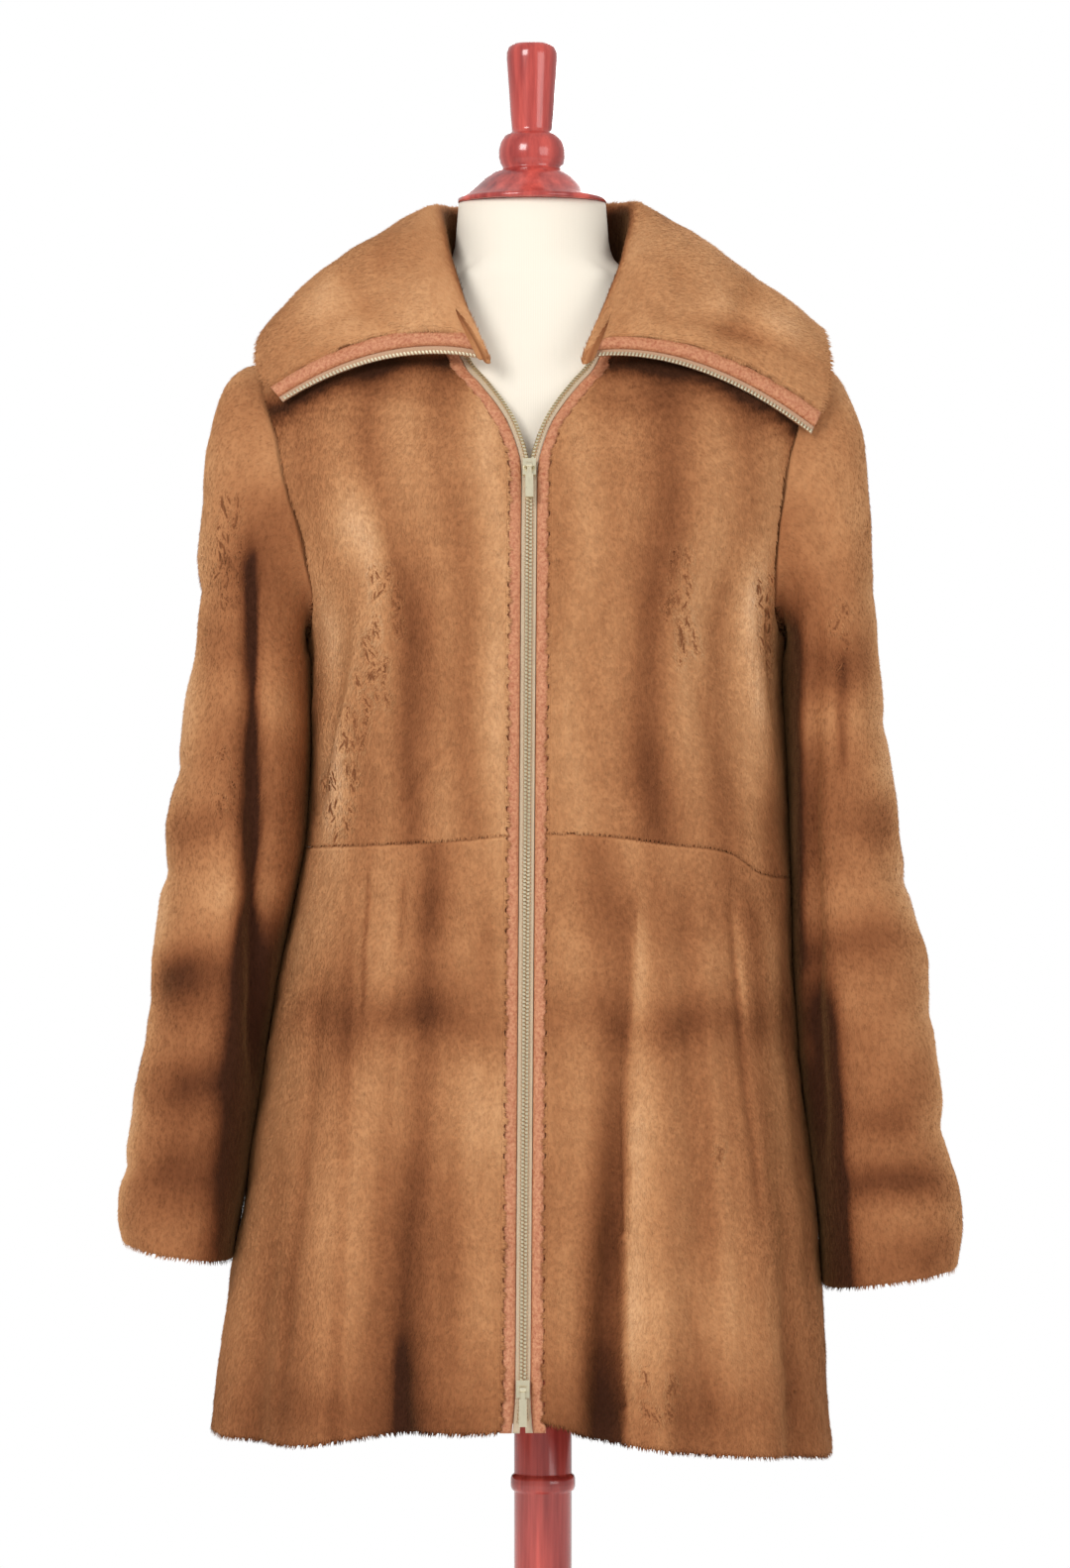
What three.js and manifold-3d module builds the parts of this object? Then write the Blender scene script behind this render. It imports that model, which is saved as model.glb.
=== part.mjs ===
import * as THREE from 'three';
import Module from 'manifold-3d';

// A sheared fur coat with a two way zip, worn by a limbless dress form on a turned wooden stand.
// Sizes are in millimetres. Z is up, the coat's front faces -Y, and +X is the wearer's left.
// The origin is the bottom centre of the stand's base.

const wasm = await Module();
wasm.setup();

// Walls and seams
const furWall = 7;
const collarWall = 9;
const seam = 0.34;
const squareness = 0.87;

// Small helpers

const toRadians = (degrees) => degrees * Math.PI / 180;
const mix = (a, b, t) => a + (b - a) * t;
const clamp = (t) => Math.min(1, Math.max(0, t));
const ease = (t) => clamp(t) * clamp(t) * (3 - 2 * clamp(t));
const signedPower = (v, power) => Math.sign(v) * Math.abs(v) ** power;
const vec = (x, y, z) => new THREE.Vector3(x, y, z);

// Reads every column of a table at one value of its key column, with a smooth curve between rows
function readTable(rows, key, at) {
  const first = rows[0][key] < rows[rows.length - 1][key] ? rows : [...rows].reverse();
  const last = first.length - 1;
  let k = 0;
  while (k < last - 1 && at > first[k + 1][key]) {
    k += 1;
  }
  const step = first[k + 1][key] - first[k][key];
  const t = clamp((at - first[k][key]) / step);
  const slope = (name, i) => {
    const a = first[Math.max(0, i - 1)];
    const b = first[Math.min(last, i + 1)];
    return (b[name] - a[name]) / (b[key] - a[key]);
  };
  const row = {};
  for (const name of Object.keys(first[0])) {
    const startSlope = slope(name, k) * step;
    const endSlope = slope(name, k + 1) * step;
    const start = first[k][name];
    const end = first[k + 1][name];
    row[name] = start * (2 * t ** 3 - 3 * t ** 2 + 1) + startSlope * (t ** 3 - 2 * t ** 2 + t)
      + end * (3 * t ** 2 - 2 * t ** 3) + endSlope * (t ** 3 - t ** 2);
  }
  return row;
}

// Closed solid between an outer and an inner grid of points
function sheetSolid(outer, inner, around = false) {
  const rows = outer.length;
  const columns = outer[0].length;
  const points = [...outer.flat(), ...inner.flat()];
  const faces = [];
  const out = (i, j) => i * columns + j;
  const into = (i, j) => rows * columns + i * columns + j;
  const quad = (a, b, c, d) => faces.push(a, b, c, a, c, d);
  const cells = around ? columns : columns - 1;
  for (let j = 0; j < cells; j += 1) {
    const next = (j + 1) % columns;
    for (let i = 0; i < rows - 1; i += 1) {
      quad(out(i, j), out(i, next), out(i + 1, next), out(i + 1, j));
      quad(into(i, j), into(i + 1, j), into(i + 1, next), into(i, next));
    }
    quad(out(0, next), out(0, j), into(0, j), into(0, next));
    quad(out(rows - 1, j), out(rows - 1, next), into(rows - 1, next), into(rows - 1, j));
  }
  if (!around) {
    const c = columns - 1;
    for (let i = 0; i < rows - 1; i += 1) {
      quad(out(i, 0), out(i + 1, 0), into(i + 1, 0), into(i, 0));
      quad(out(i + 1, c), out(i, c), into(i, c), into(i + 1, c));
    }
  }
  return geometryOf(points, faces);
}

// Geometry from points and triangle corners, turned so that its faces look outward
function geometryOf(points, faces) {
  let volume = 0;
  for (let f = 0; f < faces.length; f += 3) {
    const [a, b, c] = [points[faces[f]], points[faces[f + 1]], points[faces[f + 2]]];
    volume += a.dot(b.clone().cross(c));
  }
  if (volume < 0) {
    for (let f = 0; f < faces.length; f += 3) {
      [faces[f + 1], faces[f + 2]] = [faces[f + 2], faces[f + 1]];
    }
  }
  const geometry = new THREE.BufferGeometry();
  const numbers = points.flatMap((p) => [p.x, p.y, p.z]);
  geometry.setAttribute('position', new THREE.Float32BufferAttribute(numbers, 3));
  geometry.setIndex(faces);
  geometry.computeVertexNormals();
  return geometry;
}

// Solid turned about an upright axis, from a closed profile of radius and height
function turned(profile, segments, axisX, axisY) {
  const points = [];
  const faces = [];
  const rings = profile.map(({ r, z }) => {
    const start = points.length;
    const count = r === 0 ? 1 : segments;
    for (let k = 0; k < count; k += 1) {
      const angle = 2 * Math.PI * k / segments;
      points.push(vec(axisX + r * Math.cos(angle), axisY + r * Math.sin(angle), z));
    }
    return { start, count };
  });
  const at = (ring, k) => ring.start + (ring.count === 1 ? 0 : k % segments);
  for (let i = 0; i < rings.length - 1; i += 1) {
    for (let k = 0; k < segments; k += 1) {
      const [a, b] = [rings[i], rings[i + 1]];
      if (b.count > 1) {
        faces.push(at(a, k), at(b, k), at(b, k + 1));
      }
      if (a.count > 1) {
        faces.push(at(a, k), at(b, k + 1), at(a, k + 1));
      }
    }
  }
  return geometryOf(points, faces);
}

// The coat's body

// Half widths and depths of the outer fur surface, from the hem to the neck
const bodySections = [
  { z: 560, left: 229, right: 210, front: 151, back: 170 },
  { z: 622, left: 225, right: 206, front: 147, back: 162 },
  { z: 692, left: 216, right: 202, front: 141, back: 153 },
  { z: 762, left: 204, right: 197, front: 135, back: 143 },
  { z: 832, left: 193, right: 188, front: 129, back: 134 },
  { z: 902, left: 182, right: 182, front: 123, back: 125 },
  { z: 972, left: 168, right: 180, front: 116, back: 115 },
  { z: 1008, left: 161, right: 179, front: 112, back: 109 },
  { z: 1060, left: 158, right: 177, front: 114, back: 110 },
  { z: 1119, left: 156, right: 173, front: 118, back: 113 },
  { z: 1165, left: 161, right: 176, front: 121, back: 116 },
  { z: 1210, left: 184, right: 192, front: 121, back: 118 },
  { z: 1255, left: 202, right: 203, front: 117, back: 117 },
  { z: 1304, left: 206, right: 206, front: 99, back: 104 },
  { z: 1328, left: 201, right: 201, front: 84, back: 90 },
  { z: 1346, left: 187, right: 187, front: 70, back: 76 },
  { z: 1368, left: 151, right: 151, front: 60, back: 67 },
  { z: 1391, left: 107, right: 107, front: 53, back: 62 },
  { z: 1412, left: 71, right: 71, front: 48, back: 60 },
];

// Soft ridges, and troughs where height is negative, each along a line of angle and height
const bodyFolds = [
  { fromAngle: 19, fromZ: 950, toAngle: 10, toZ: 560, width: 4.5, height: -21, toHem: 1 },
  { fromAngle: 26, fromZ: 960, toAngle: 19, toZ: 560, width: 5, height: 7, toHem: 1 },
  { fromAngle: 50, fromZ: 1010, toAngle: 44, toZ: 560, width: 9, height: 9, toHem: 1 },
  { fromAngle: 62, fromZ: 900, toAngle: 60, toZ: 560, width: 7, height: -9, toHem: 1 },
  { fromAngle: -28, fromZ: 860, toAngle: -22, toZ: 560, width: 5, height: -15, toHem: 1 },
  { fromAngle: -42, fromZ: 960, toAngle: -36, toZ: 560, width: 9, height: 8, toHem: 1 },
  { fromAngle: -64, fromZ: 880, toAngle: -60, toZ: 560, width: 8, height: -10, toHem: 1 },
  { fromAngle: 118, fromZ: 950, toAngle: 122, toZ: 560, width: 9, height: -14, toHem: 1 },
  { fromAngle: 142, fromZ: 980, toAngle: 146, toZ: 560, width: 10, height: 8, toHem: 1 },
  { fromAngle: 166, fromZ: 960, toAngle: 168, toZ: 560, width: 7, height: -16, toHem: 1 },
  { fromAngle: -168, fromZ: 900, toAngle: -172, toZ: 560, width: 8, height: 7, toHem: 1 },
  { fromAngle: -148, fromZ: 970, toAngle: -152, toZ: 560, width: 8, height: -15, toHem: 1 },
  { fromAngle: -122, fromZ: 930, toAngle: -120, toZ: 560, width: 9, height: 7, toHem: 1 },
  { fromAngle: -38, fromZ: 1190, toAngle: -62, toZ: 1012, width: 7, height: 5, toHem: 0 },
  { fromAngle: -52, fromZ: 1180, toAngle: -74, toZ: 1020, width: 7, height: -4, toHem: 0 },
  { fromAngle: 58, fromZ: 1200, toAngle: 66, toZ: 1030, width: 7, height: 5, toHem: 0 },
  { fromAngle: 44, fromZ: 1230, toAngle: 50, toZ: 1020, width: 7, height: -4, toHem: 0 },
  { fromAngle: 152, fromZ: 1230, toAngle: 160, toZ: 1010, width: 9, height: -5, toHem: 0 },
  { fromAngle: -150, fromZ: 1210, toAngle: -158, toZ: 1020, width: 9, height: -5, toHem: 0 },
];

const hemHeights = [
  { angle: -180, z: 578 },
  { angle: -130, z: 586 },
  { angle: -90, z: 592 },
  { angle: -58, z: 594 },
  { angle: -40, z: 595 },
  { angle: -22, z: 605 },
  { angle: -6, z: 606 },
  { angle: 1, z: 612 },
  { angle: 10, z: 601 },
  { angle: 28, z: 591 },
  { angle: 55, z: 584 },
  { angle: 90, z: 576 },
  { angle: 130, z: 580 },
  { angle: 180, z: 578 },
];

const waistHeights = [
  { angle: -180, z: 1000 },
  { angle: -120, z: 1003 },
  { angle: -60, z: 1005 },
  { angle: -20, z: 1009 },
  { angle: -4, z: 1013 },
  { angle: 8, z: 1014 },
  { angle: 28, z: 1007 },
  { angle: 46, z: 1001 },
  { angle: 60, z: 986 },
  { angle: 90, z: 984 },
  { angle: 130, z: 990 },
  { angle: 180, z: 1000 },
];

function foldHeight(angle, z) {
  let height = 0;
  for (const fold of bodyFolds) {
    const along = (fold.fromZ - z) / (fold.fromZ - fold.toZ);
    if (along > 0 && (along < 1 || fold.toHem)) {
      const centre = mix(fold.fromAngle, fold.toAngle, along);
      const away = ((angle - centre + 540) % 360) - 180;
      const grown = fold.toHem ? ease(along * 1.15) : Math.sin(Math.PI * along) ** 0.8;
      height += fold.height * grown * Math.exp(-((away / fold.width) ** 2));
    }
  }
  return height;
}

// Point of the body's outer surface; the angle in degrees is 0 in front and positive toward +X
function bodyPoint(angle, z, folded = true) {
  const row = readTable(bodySections, 'z', z);
  const s = Math.sin(toRadians(angle));
  const c = Math.cos(toRadians(angle));
  const x = signedPower(s, squareness) * (s < 0 ? row.left : row.right);
  const y = -signedPower(c, squareness) * (c > 0 ? row.front : row.back);
  const reach = Math.hypot(x, y);
  const scale = folded ? 1 + foldHeight(angle, z) / reach : 1;
  return vec(x * scale, y * scale, z);
}

function bodyNormal(angle, z, folded = true) {
  const low = bodyPoint(angle, z - 2, folded);
  const high = bodyPoint(angle, z + 2, folded);
  const before = bodyPoint(angle - 1.5, z, folded);
  const after = bodyPoint(angle + 1.5, z, folded);
  return after.sub(before).cross(high.sub(low)).normalize();
}

function bodyDeep(angle, z, depth, folded = true) {
  return bodyPoint(angle, z, folded).addScaledVector(bodyNormal(angle, z, folded), -depth);
}

// Angle at which the front of the body has a given x
function frontAngle(x, z) {
  let low = -88;
  let high = 88;
  for (let k = 0; k < 40; k += 1) {
    const middle = (low + high) / 2;
    if (bodyPoint(middle, z, false).x < x) {
      low = middle;
    } else {
      high = middle;
    }
  }
  return (low + high) / 2;
}

// Front edges, zip line and armholes

const neckTop = 1412;
const stripTop = 1336;
const tapeWidth = 5;
const trimWidth = 9.4;
const armholeCentre = 1248.5;
const armholeHalfHeight = 97.5;
const armholeSpread = 34;
const armholeSteps = 10;

// How far each front edge stands off the zip line
const edgeOpening = [
  { z: 560, half: 2.6 },
  { z: 600, half: 2.2 },
  { z: 625, half: 0.4 },
  { z: 640, half: 0 },
  { z: 700, half: 0 },
  { z: 1255, half: 0 },
  { z: 1274, half: 1.2 },
  { z: 1297, half: 8.5 },
  { z: 1314, half: 18 },
  { z: 1328, half: 28.5 },
  { z: 1342, half: 40 },
  { z: 1368, half: 52 },
  { z: 1392, half: 59 },
  { z: 1412, half: 62 },
];

const zipLine = (z) => mix(-8.5, -3.5, clamp((z - 600) / 720));
const opening = (z) => Math.max(0, readTable(edgeOpening, 'z', z).half);

// Wider across where the edge runs at a slant
function slant(z) {
  const slope = (opening(z + 3) - opening(z - 3)) / 6;
  return Math.hypot(1, Math.min(slope, 1));
}

const edgeReach = (z) => {
  const whole = (tapeWidth + trimWidth + seam) * slant(z);
  return opening(z) + mix(whole, 4, ease((z - stripTop - 14) / 45));
};

const frontEdgeAngle = (side, z) => frontAngle(zipLine(z) + side * edgeReach(z), z);

function armholeSpreadAt(z) {
  const c = (z - armholeCentre) / armholeHalfHeight;
  return Math.abs(c) < 1 ? armholeSpread * Math.sqrt(1 - c * c) : 0;
}

const seamAngle = 0.06;

// Bodice and skirt panels

// Angle and height of a column's point on one row, where the row's height changes with the angle
function settle(f, startAngle, endAngle, heightAt) {
  let z = heightAt(0);
  let angle = 0;
  for (let k = 0; k < 6; k += 1) {
    angle = mix(startAngle(z), endAngle(z), f);
    z = heightAt(turnedBack(angle));
  }
  return { angle, z };
}

const turnedBack = (angle) => (angle > 180 ? angle - 360 : angle);

// Steps up the armhole, with half steps where the front edges curve open
const armholeRows = [0, 1, 2, 3, 4, 5, 5.5, 6, 6.5, 7, 7.5, 8, 8.5, 9, 10];
const armholeHeight = (k) => armholeCentre - armholeHalfHeight * Math.cos(Math.PI * k / armholeSteps);

const bodiceRows = (angle) => {
  const waist = readTable(waistHeights, 'angle', angle).z + seam / 2;
  const bottom = armholeCentre - armholeHalfHeight;
  const top = armholeCentre + armholeHalfHeight;
  const heights = [];
  for (let k = 0; k < 5; k += 1) {
    heights.push(mix(waist, bottom, k / 5));
  }
  heights.push(...armholeRows.map(armholeHeight));
  for (let k = 1; k <= 4; k += 1) {
    heights.push(mix(top, neckTop, k / 4));
  }
  return heights;
};

function bodicePanel(columns, startAngle, endAngle) {
  const outer = [];
  const inner = [];
  const rowCount = bodiceRows(0).length;
  for (let i = 0; i < rowCount; i += 1) {
    const outerRow = [];
    const innerRow = [];
    for (let j = 0; j < columns; j += 1) {
      const { angle, z } = settle(j / (columns - 1), startAngle, endAngle, (a) => bodiceRows(a)[i]);
      outerRow.push(bodyPoint(angle, z));
      innerRow.push(bodyDeep(angle, z, furWall));
    }
    outer.push(outerRow);
    inner.push(innerRow);
  }
  return sheetSolid(outer, inner);
}

function skirtPanel(columns, rows, startAngle, endAngle) {
  const outer = [];
  const inner = [];
  for (let i = 0; i <= rows; i += 1) {
    const outerRow = [];
    const innerRow = [];
    for (let j = 0; j < columns; j += 1) {
      const { angle, z } = settle(j / (columns - 1), startAngle, endAngle, (a) => {
        const hem = readTable(hemHeights, 'angle', a).z;
        const waist = readTable(waistHeights, 'angle', a).z - seam / 2;
        return mix(hem, waist, i / rows);
      });
      outerRow.push(bodyPoint(angle, z));
      innerRow.push(bodyDeep(angle, z, furWall));
    }
    outer.push(outerRow);
    inner.push(innerRow);
  }
  return sheetSolid(outer, inner);
}

const sideAngle = (z) => 90 - seamAngle - armholeSpreadAt(z);
const backAngle = (z) => 90 + seamAngle + armholeSpreadAt(z);
const skirtSide = () => 90 - seamAngle;
const skirtBack = () => 90 + seamAngle;

const frontColumns = 13;
const backColumns = 21;
const skirtRows = 12;

const bodiceFront = (side) => bodicePanel(
  frontColumns,
  (z) => frontEdgeAngle(side, z),
  (z) => side * sideAngle(z),
);
const bodiceBack = () => bodicePanel(backColumns, (z) => backAngle(z), (z) => 360 - backAngle(z));
const skirtFront = (side) => skirtPanel(
  frontColumns,
  skirtRows,
  (z) => frontEdgeAngle(side, z),
  () => side * skirtSide(),
);
const skirtWhole = () => skirtPanel(backColumns, skirtRows, skirtBack, () => 360 - skirtBack());

// Front strips: the leather trim and the half zip that run along each front edge

const stripLevels = 12;
const stripFirst = 640;

function stripHeights(bottom) {
  const heights = [bottom, bottom + 11, 627];
  for (let k = 0; k < stripLevels; k += 1) {
    heights.push(mix(stripFirst, armholeCentre, k / stripLevels));
  }
  return heights.concat([5, 5.5, 6, 6.5, 7, 7.5, 8, 8.5].map(armholeHeight));
}

function frontStrip(side, profile, bottom) {
  const outer = [];
  const inner = [];
  for (const z of stripHeights(bottom)) {
    const centre = zipLine(z) + side * (opening(z) + seam / 2);
    const place = (across, depth) => {
      const x = centre + side * across * slant(z);
      return bodyDeep(frontAngle(x, z), z, depth);
    };
    outer.push(profile.map((p) => place(p.across, p.top)));
    inner.push(profile.map((p) => place(p.across, p.bottom)));
  }
  return sheetSolid(outer, inner);
}

// Depths are below the fur's surface
const trimProfile = [
  { across: tapeWidth + seam, top: 2.4, bottom: 4.6 },
  { across: tapeWidth + trimWidth / 2, top: 1.4, bottom: 4.8 },
  { across: tapeWidth + trimWidth - seam, top: 2.2, bottom: 5 },
];
const zipProfile = [
  { across: 0, top: 1.6, bottom: 5.2 },
  { across: 2.6, top: 1.6, bottom: 5.2 },
  { across: 3, top: 3.4, bottom: 5.2 },
  { across: tapeWidth, top: 3.6, bottom: 5.2 },
];

const frontHem = (side) => readTable(hemHeights, 'angle', side * 6).z;

// Collar

// One row a rib, from the wearer's right tip round the back of the neck to the left tip.
// The roll is the rib's highest line, and the edge is the collar's free outer edge.
const collarRibs = [
  { rib: 0, rollX: -40, rollY: -90, rollZ: 1349, edgeX: -180, edgeY: -66, edgeZ: 1319, bulge: 13 },
  { rib: 1, rollX: -58, rollY: -74, rollZ: 1388, edgeX: -196, edgeY: -44, edgeZ: 1340, bulge: 15 },
  { rib: 2, rollX: -69, rollY: -40, rollZ: 1428, edgeX: -195, edgeY: -8, edgeZ: 1366, bulge: 19 },
  { rib: 3, rollX: -73, rollY: 6, rollZ: 1457, edgeX: -186, edgeY: 46, edgeZ: 1360, bulge: 11 },
  { rib: 4, rollX: -60, rollY: 38, rollZ: 1461, edgeX: -149, edgeY: 94, edgeZ: 1330, bulge: 16 },
  { rib: 5, rollX: -33, rollY: 57, rollZ: 1461, edgeX: -80, edgeY: 124, edgeZ: 1302, bulge: 13 },
  { rib: 6, rollX: 0, rollY: 65, rollZ: 1461, edgeX: 0, edgeY: 132, edgeZ: 1294, bulge: 12 },
  { rib: 7, rollX: 33, rollY: 57, rollZ: 1462, edgeX: 82, edgeY: 124, edgeZ: 1300, bulge: 13 },
  { rib: 8, rollX: 62, rollY: 38, rollZ: 1462, edgeX: 153, edgeY: 94, edgeZ: 1328, bulge: 17 },
  { rib: 9, rollX: 75, rollY: 6, rollZ: 1458, edgeX: 192, edgeY: 46, edgeZ: 1360, bulge: 9 },
  { rib: 10, rollX: 69, rollY: -40, rollZ: 1422, edgeX: 204, edgeY: -8, edgeZ: 1366, bulge: 16 },
  { rib: 11, rollX: 53, rollY: -76, rollZ: 1378, edgeX: 208, edgeY: -44, edgeZ: 1332, bulge: 15 },
  { rib: 12, rollX: 42, rollY: -90, rollZ: 1349, edgeX: 196, edgeY: -66, edgeZ: 1298, bulge: 14 },
];
const lastRib = collarRibs.length - 1;
const rollRadius = 11;
const standBottom = neckTop + seam;
const fallSteps = 7;

function collarRow(rib) {
  const row = readTable(collarRibs, 'rib', Math.min(lastRib, Math.max(0, rib)));
  const end = rib < 0 ? 0 : lastRib;
  const over = rib - Math.min(lastRib, Math.max(0, rib));
  if (over !== 0) {
    const near = readTable(collarRibs, 'rib', end + 0.2 * (end === 0 ? 1 : -1));
    const at = readTable(collarRibs, 'rib', end);
    for (const name of Object.keys(row)) {
      row[name] = at[name] + (at[name] - near[name]) / 0.2 * Math.abs(over);
    }
  }
  return row;
}

// Section of one rib: points across from the foot of the stand, over the roll, to the free edge
function collarChain(rib, depth, fallOnly) {
  const row = collarRow(rib);
  const away = vec(row.edgeX - row.rollX, row.edgeY - row.rollY, 0);
  const span = away.length();
  away.normalize();
  const drop = row.edgeZ - row.rollZ;
  const stand = Math.max(rollRadius + 1, row.rollZ - standBottom);
  const flat = [];
  if (!fallOnly) {
    flat.push([-rollRadius, -stand]);
    flat.push([-rollRadius, mix(-stand, -rollRadius, 0.5)]);
    flat.push([-rollRadius, -rollRadius]);
    flat.push([-0.71 * rollRadius, -0.29 * rollRadius]);
  }
  for (let k = 0; k <= fallSteps; k += 1) {
    const q = k / fallSteps;
    flat.push([span * q, drop * q ** 1.15 + row.bulge * 4 * q * (1 - q)]);
  }
  return flat.map((p, k) => {
    const before = flat[Math.max(0, k - 1)];
    const after = flat[Math.min(flat.length - 1, k + 1)];
    const along = [after[0] - before[0], after[1] - before[1]];
    const size = Math.hypot(along[0], along[1]);
    const a = p[0] + along[1] / size * depth;
    const b = p[1] - along[0] / size * depth;
    return vec(row.rollX + away.x * a, row.rollY + away.y * a, row.rollZ + b);
  });
}

function collarPart(from, to, steps, top, bottom, fallOnly) {
  const outer = [];
  const inner = [];
  for (let k = 0; k <= steps; k += 1) {
    const rib = mix(from, to, k / steps);
    outer.push(collarChain(rib, top, fallOnly));
    inner.push(collarChain(rib, bottom, fallOnly));
  }
  return sheetSolid(outer, inner);
}

const collarTrimEnd = 0.3;
const collarTapeEnd = 0.14;
const ribSeam = 0.009;

// Sleeves

// Outline of each sleeve tube below the armhole, from the cuff up. The inner side lies on the body,
// and dent is the depth of the long crease down the front.
const sleeveSections = {
  [-1]: [
    { z: 718, outer: 290, front: 74, back: 62, crease: 160, dent: 0 },
    { z: 745, outer: 293, front: 76, back: 64, crease: 158, dent: 0 },
    { z: 776, outer: 290, front: 77, back: 65, crease: 156, dent: 0 },
    { z: 832, outer: 281, front: 78, back: 68, crease: 150, dent: 2 },
    { z: 874, outer: 274, front: 77, back: 70, crease: 142, dent: 9 },
    { z: 902, outer: 271, front: 78, back: 71, crease: 135, dent: 12 },
    { z: 945, outer: 266, front: 76, back: 73, crease: 122, dent: 13 },
    { z: 985, outer: 261, front: 77, back: 75, crease: 112, dent: 13 },
    { z: 1030, outer: 256, front: 75, back: 76, crease: 104, dent: 13 },
    { z: 1077, outer: 250, front: 75, back: 77, crease: 99, dent: 13 },
    { z: 1128, outer: 242, front: 73, back: 77, crease: 95, dent: 12 },
  ],
  [1]: [
    { z: 700, outer: 299, front: 72, back: 66, crease: 150, dent: 0 },
    { z: 730, outer: 302, front: 75, back: 67, crease: 150, dent: 0 },
    { z: 762, outer: 299, front: 76, back: 68, crease: 148, dent: 0 },
    { z: 790, outer: 291, front: 75, back: 69, crease: 146, dent: 3 },
    { z: 839, outer: 285, front: 77, back: 71, crease: 142, dent: 8 },
    { z: 881, outer: 280, front: 76, back: 72, crease: 138, dent: 10 },
    { z: 930, outer: 274, front: 77, back: 74, crease: 134, dent: 11 },
    { z: 979, outer: 264, front: 73, back: 75, crease: 132, dent: 11 },
    { z: 1014, outer: 256, front: 75, back: 76, crease: 128, dent: 11 },
    { z: 1070, outer: 250, front: 75, back: 77, crease: 120, dent: 10 },
    { z: 1128, outer: 243.5, front: 73, back: 77, crease: 110, dent: 9 },
  ],
};
const creaseWidth = 11;
const sleeveSegments = 20;
const headRings = 6;
const cuffSlope = { [-1]: 8, [1]: 7 };

// Point on the sleeve's tube; the turn is 0 on the outside, 90 in front and 180 next to the body
function tubePoint(side, turn, z, soft = 0) {
  const row = readTable(sleeveSections[side], 'z', z);
  const c = Math.cos(toRadians(turn));
  const s = Math.sin(toRadians(turn));
  const body = readTable(bodySections, 'z', z);
  const near = (side < 0 ? body.left : body.right) + mix(0.9, 2.6, ease((z - 1050) / 78));
  const middle = (row.outer + near) / 2;
  const half = (row.outer - near) / 2;
  const depth = s > 0 ? row.front : row.back;
  const x = middle + half * signedPower(c, 0.85);
  const y = -depth * signedPower(s, 0.85);
  const width = creaseWidth + soft * 14;
  const dent = row.dent * Math.exp(-(((turn - row.crease) / width) ** 2));
  const backDent = row.dent * 0.6 * Math.exp(-(((turn - 250) / width) ** 2));
  const fade = 0.35 + 0.65 * ease((1180 - z) / 120);
  const shrink = (dent + backDent) * fade;
  const reach = Math.hypot(x - middle, y);
  const scale = 1 - shrink / reach;
  const tilt = cuffSlope[side] * (c + 0.2) * ease((760 - z) / 60);
  return vec(side * (middle + (x - middle) * scale), y * scale, z + tilt);
}

function armholePoint(side, turn, depth) {
  const c = Math.cos(toRadians(turn));
  const s = Math.sin(toRadians(turn));
  const z = armholeCentre + (armholeHalfHeight - seam) * c;
  const angle = side * (90 - (armholeSpread - 0.82) * s);
  return bodyDeep(angle, z, depth);
}

// Point of the sleeve from the armhole, at 0, down the head to the tube's top, at 1
function headPoint(side, turn, t) {
  const start = armholePoint(side, turn, 0);
  const top = sleeveSections[side][sleeveSections[side].length - 1].z;
  const end = tubePoint(side, turn, top);
  const below = tubePoint(side, turn, top - 4);
  const down = end.clone().sub(below).normalize().negate();
  const c = Math.cos(toRadians(turn));
  const s = Math.sin(toRadians(turn));
  const under = ease((-c - 0.35) / 0.5);
  const leave = vec(side * mix(0.97, 0.75, s * s), -0.25 * s, mix(0.04, -0.6, s * s)).normalize();
  const normal = armholePoint(side, turn, 0).sub(armholePoint(side, turn, 1));
  const hairpin = bodyPoint(side * 90, armholeCentre).sub(start);
  hairpin.addScaledVector(normal, -hairpin.dot(normal)).normalize();
  hairpin.add(vec(side * 0.5, 0, 0)).normalize();
  leave.lerp(hairpin, under).normalize();
  const gap = start.distanceTo(end);
  const startPull = mix(gap * mix(0.26, 0.34, s * s), 13, under);
  const endPull = mix(gap * 0.42, 14, under);
  const p1 = start.clone().addScaledVector(leave, startPull);
  const p2 = end.clone().addScaledVector(down, -endPull);
  const u = 1 - t;
  return start.multiplyScalar(u ** 3).addScaledVector(p1, 3 * u * u * t)
    .addScaledVector(p2, 3 * u * t * t).addScaledVector(end, t ** 3);
}

function sleeve(side) {
  const sections = sleeveSections[side];
  const top = sections[sections.length - 1].z;
  const bottom = sections[0].z;
  const tubeRings = 13;
  const place = (turn, run, soft) => {
    if (run <= 1) {
      return headPoint(side, turn, Math.max(0, run));
    }
    return tubePoint(side, turn, mix(top, bottom, run - 1), soft);
  };
  const normalAt = (turn, run) => {
    const back = Math.max(0, run - 0.03);
    const along = place(turn, run + 0.03, 1).sub(place(turn, back, 1));
    const across = place(turn + 4, run, 1).sub(place(turn - 4, run, 1));
    return across.cross(along).multiplyScalar(side).normalize();
  };
  const runs = [];
  for (let k = 0; k < headRings; k += 1) {
    runs.push(k / headRings);
  }
  for (let k = 0; k <= tubeRings; k += 1) {
    runs.push(1 + k / tubeRings);
  }
  const outer = [];
  const inner = [];
  for (const run of runs) {
    const outerRow = [];
    const innerRow = [];
    for (let j = 0; j < sleeveSegments; j += 1) {
      const turn = 360 * j / sleeveSegments;
      outerRow.push(place(turn, run, 0));
      if (run === 0) {
        innerRow.push(armholePoint(side, turn, furWall));
      } else {
        const soft = place(turn, run, 1);
        const fromSeam = armholePoint(side, turn, 0).sub(armholePoint(side, turn, 1));
        const away = fromSeam.lerp(normalAt(turn, run), ease(run / 0.32)).normalize();
        innerRow.push(soft.addScaledVector(away, -furWall));
      }
    }
    outer.push(outerRow);
    inner.push(innerRow);
  }
  return sheetSolid(outer, inner, true);
}

// Sliders and their pull tabs

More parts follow.
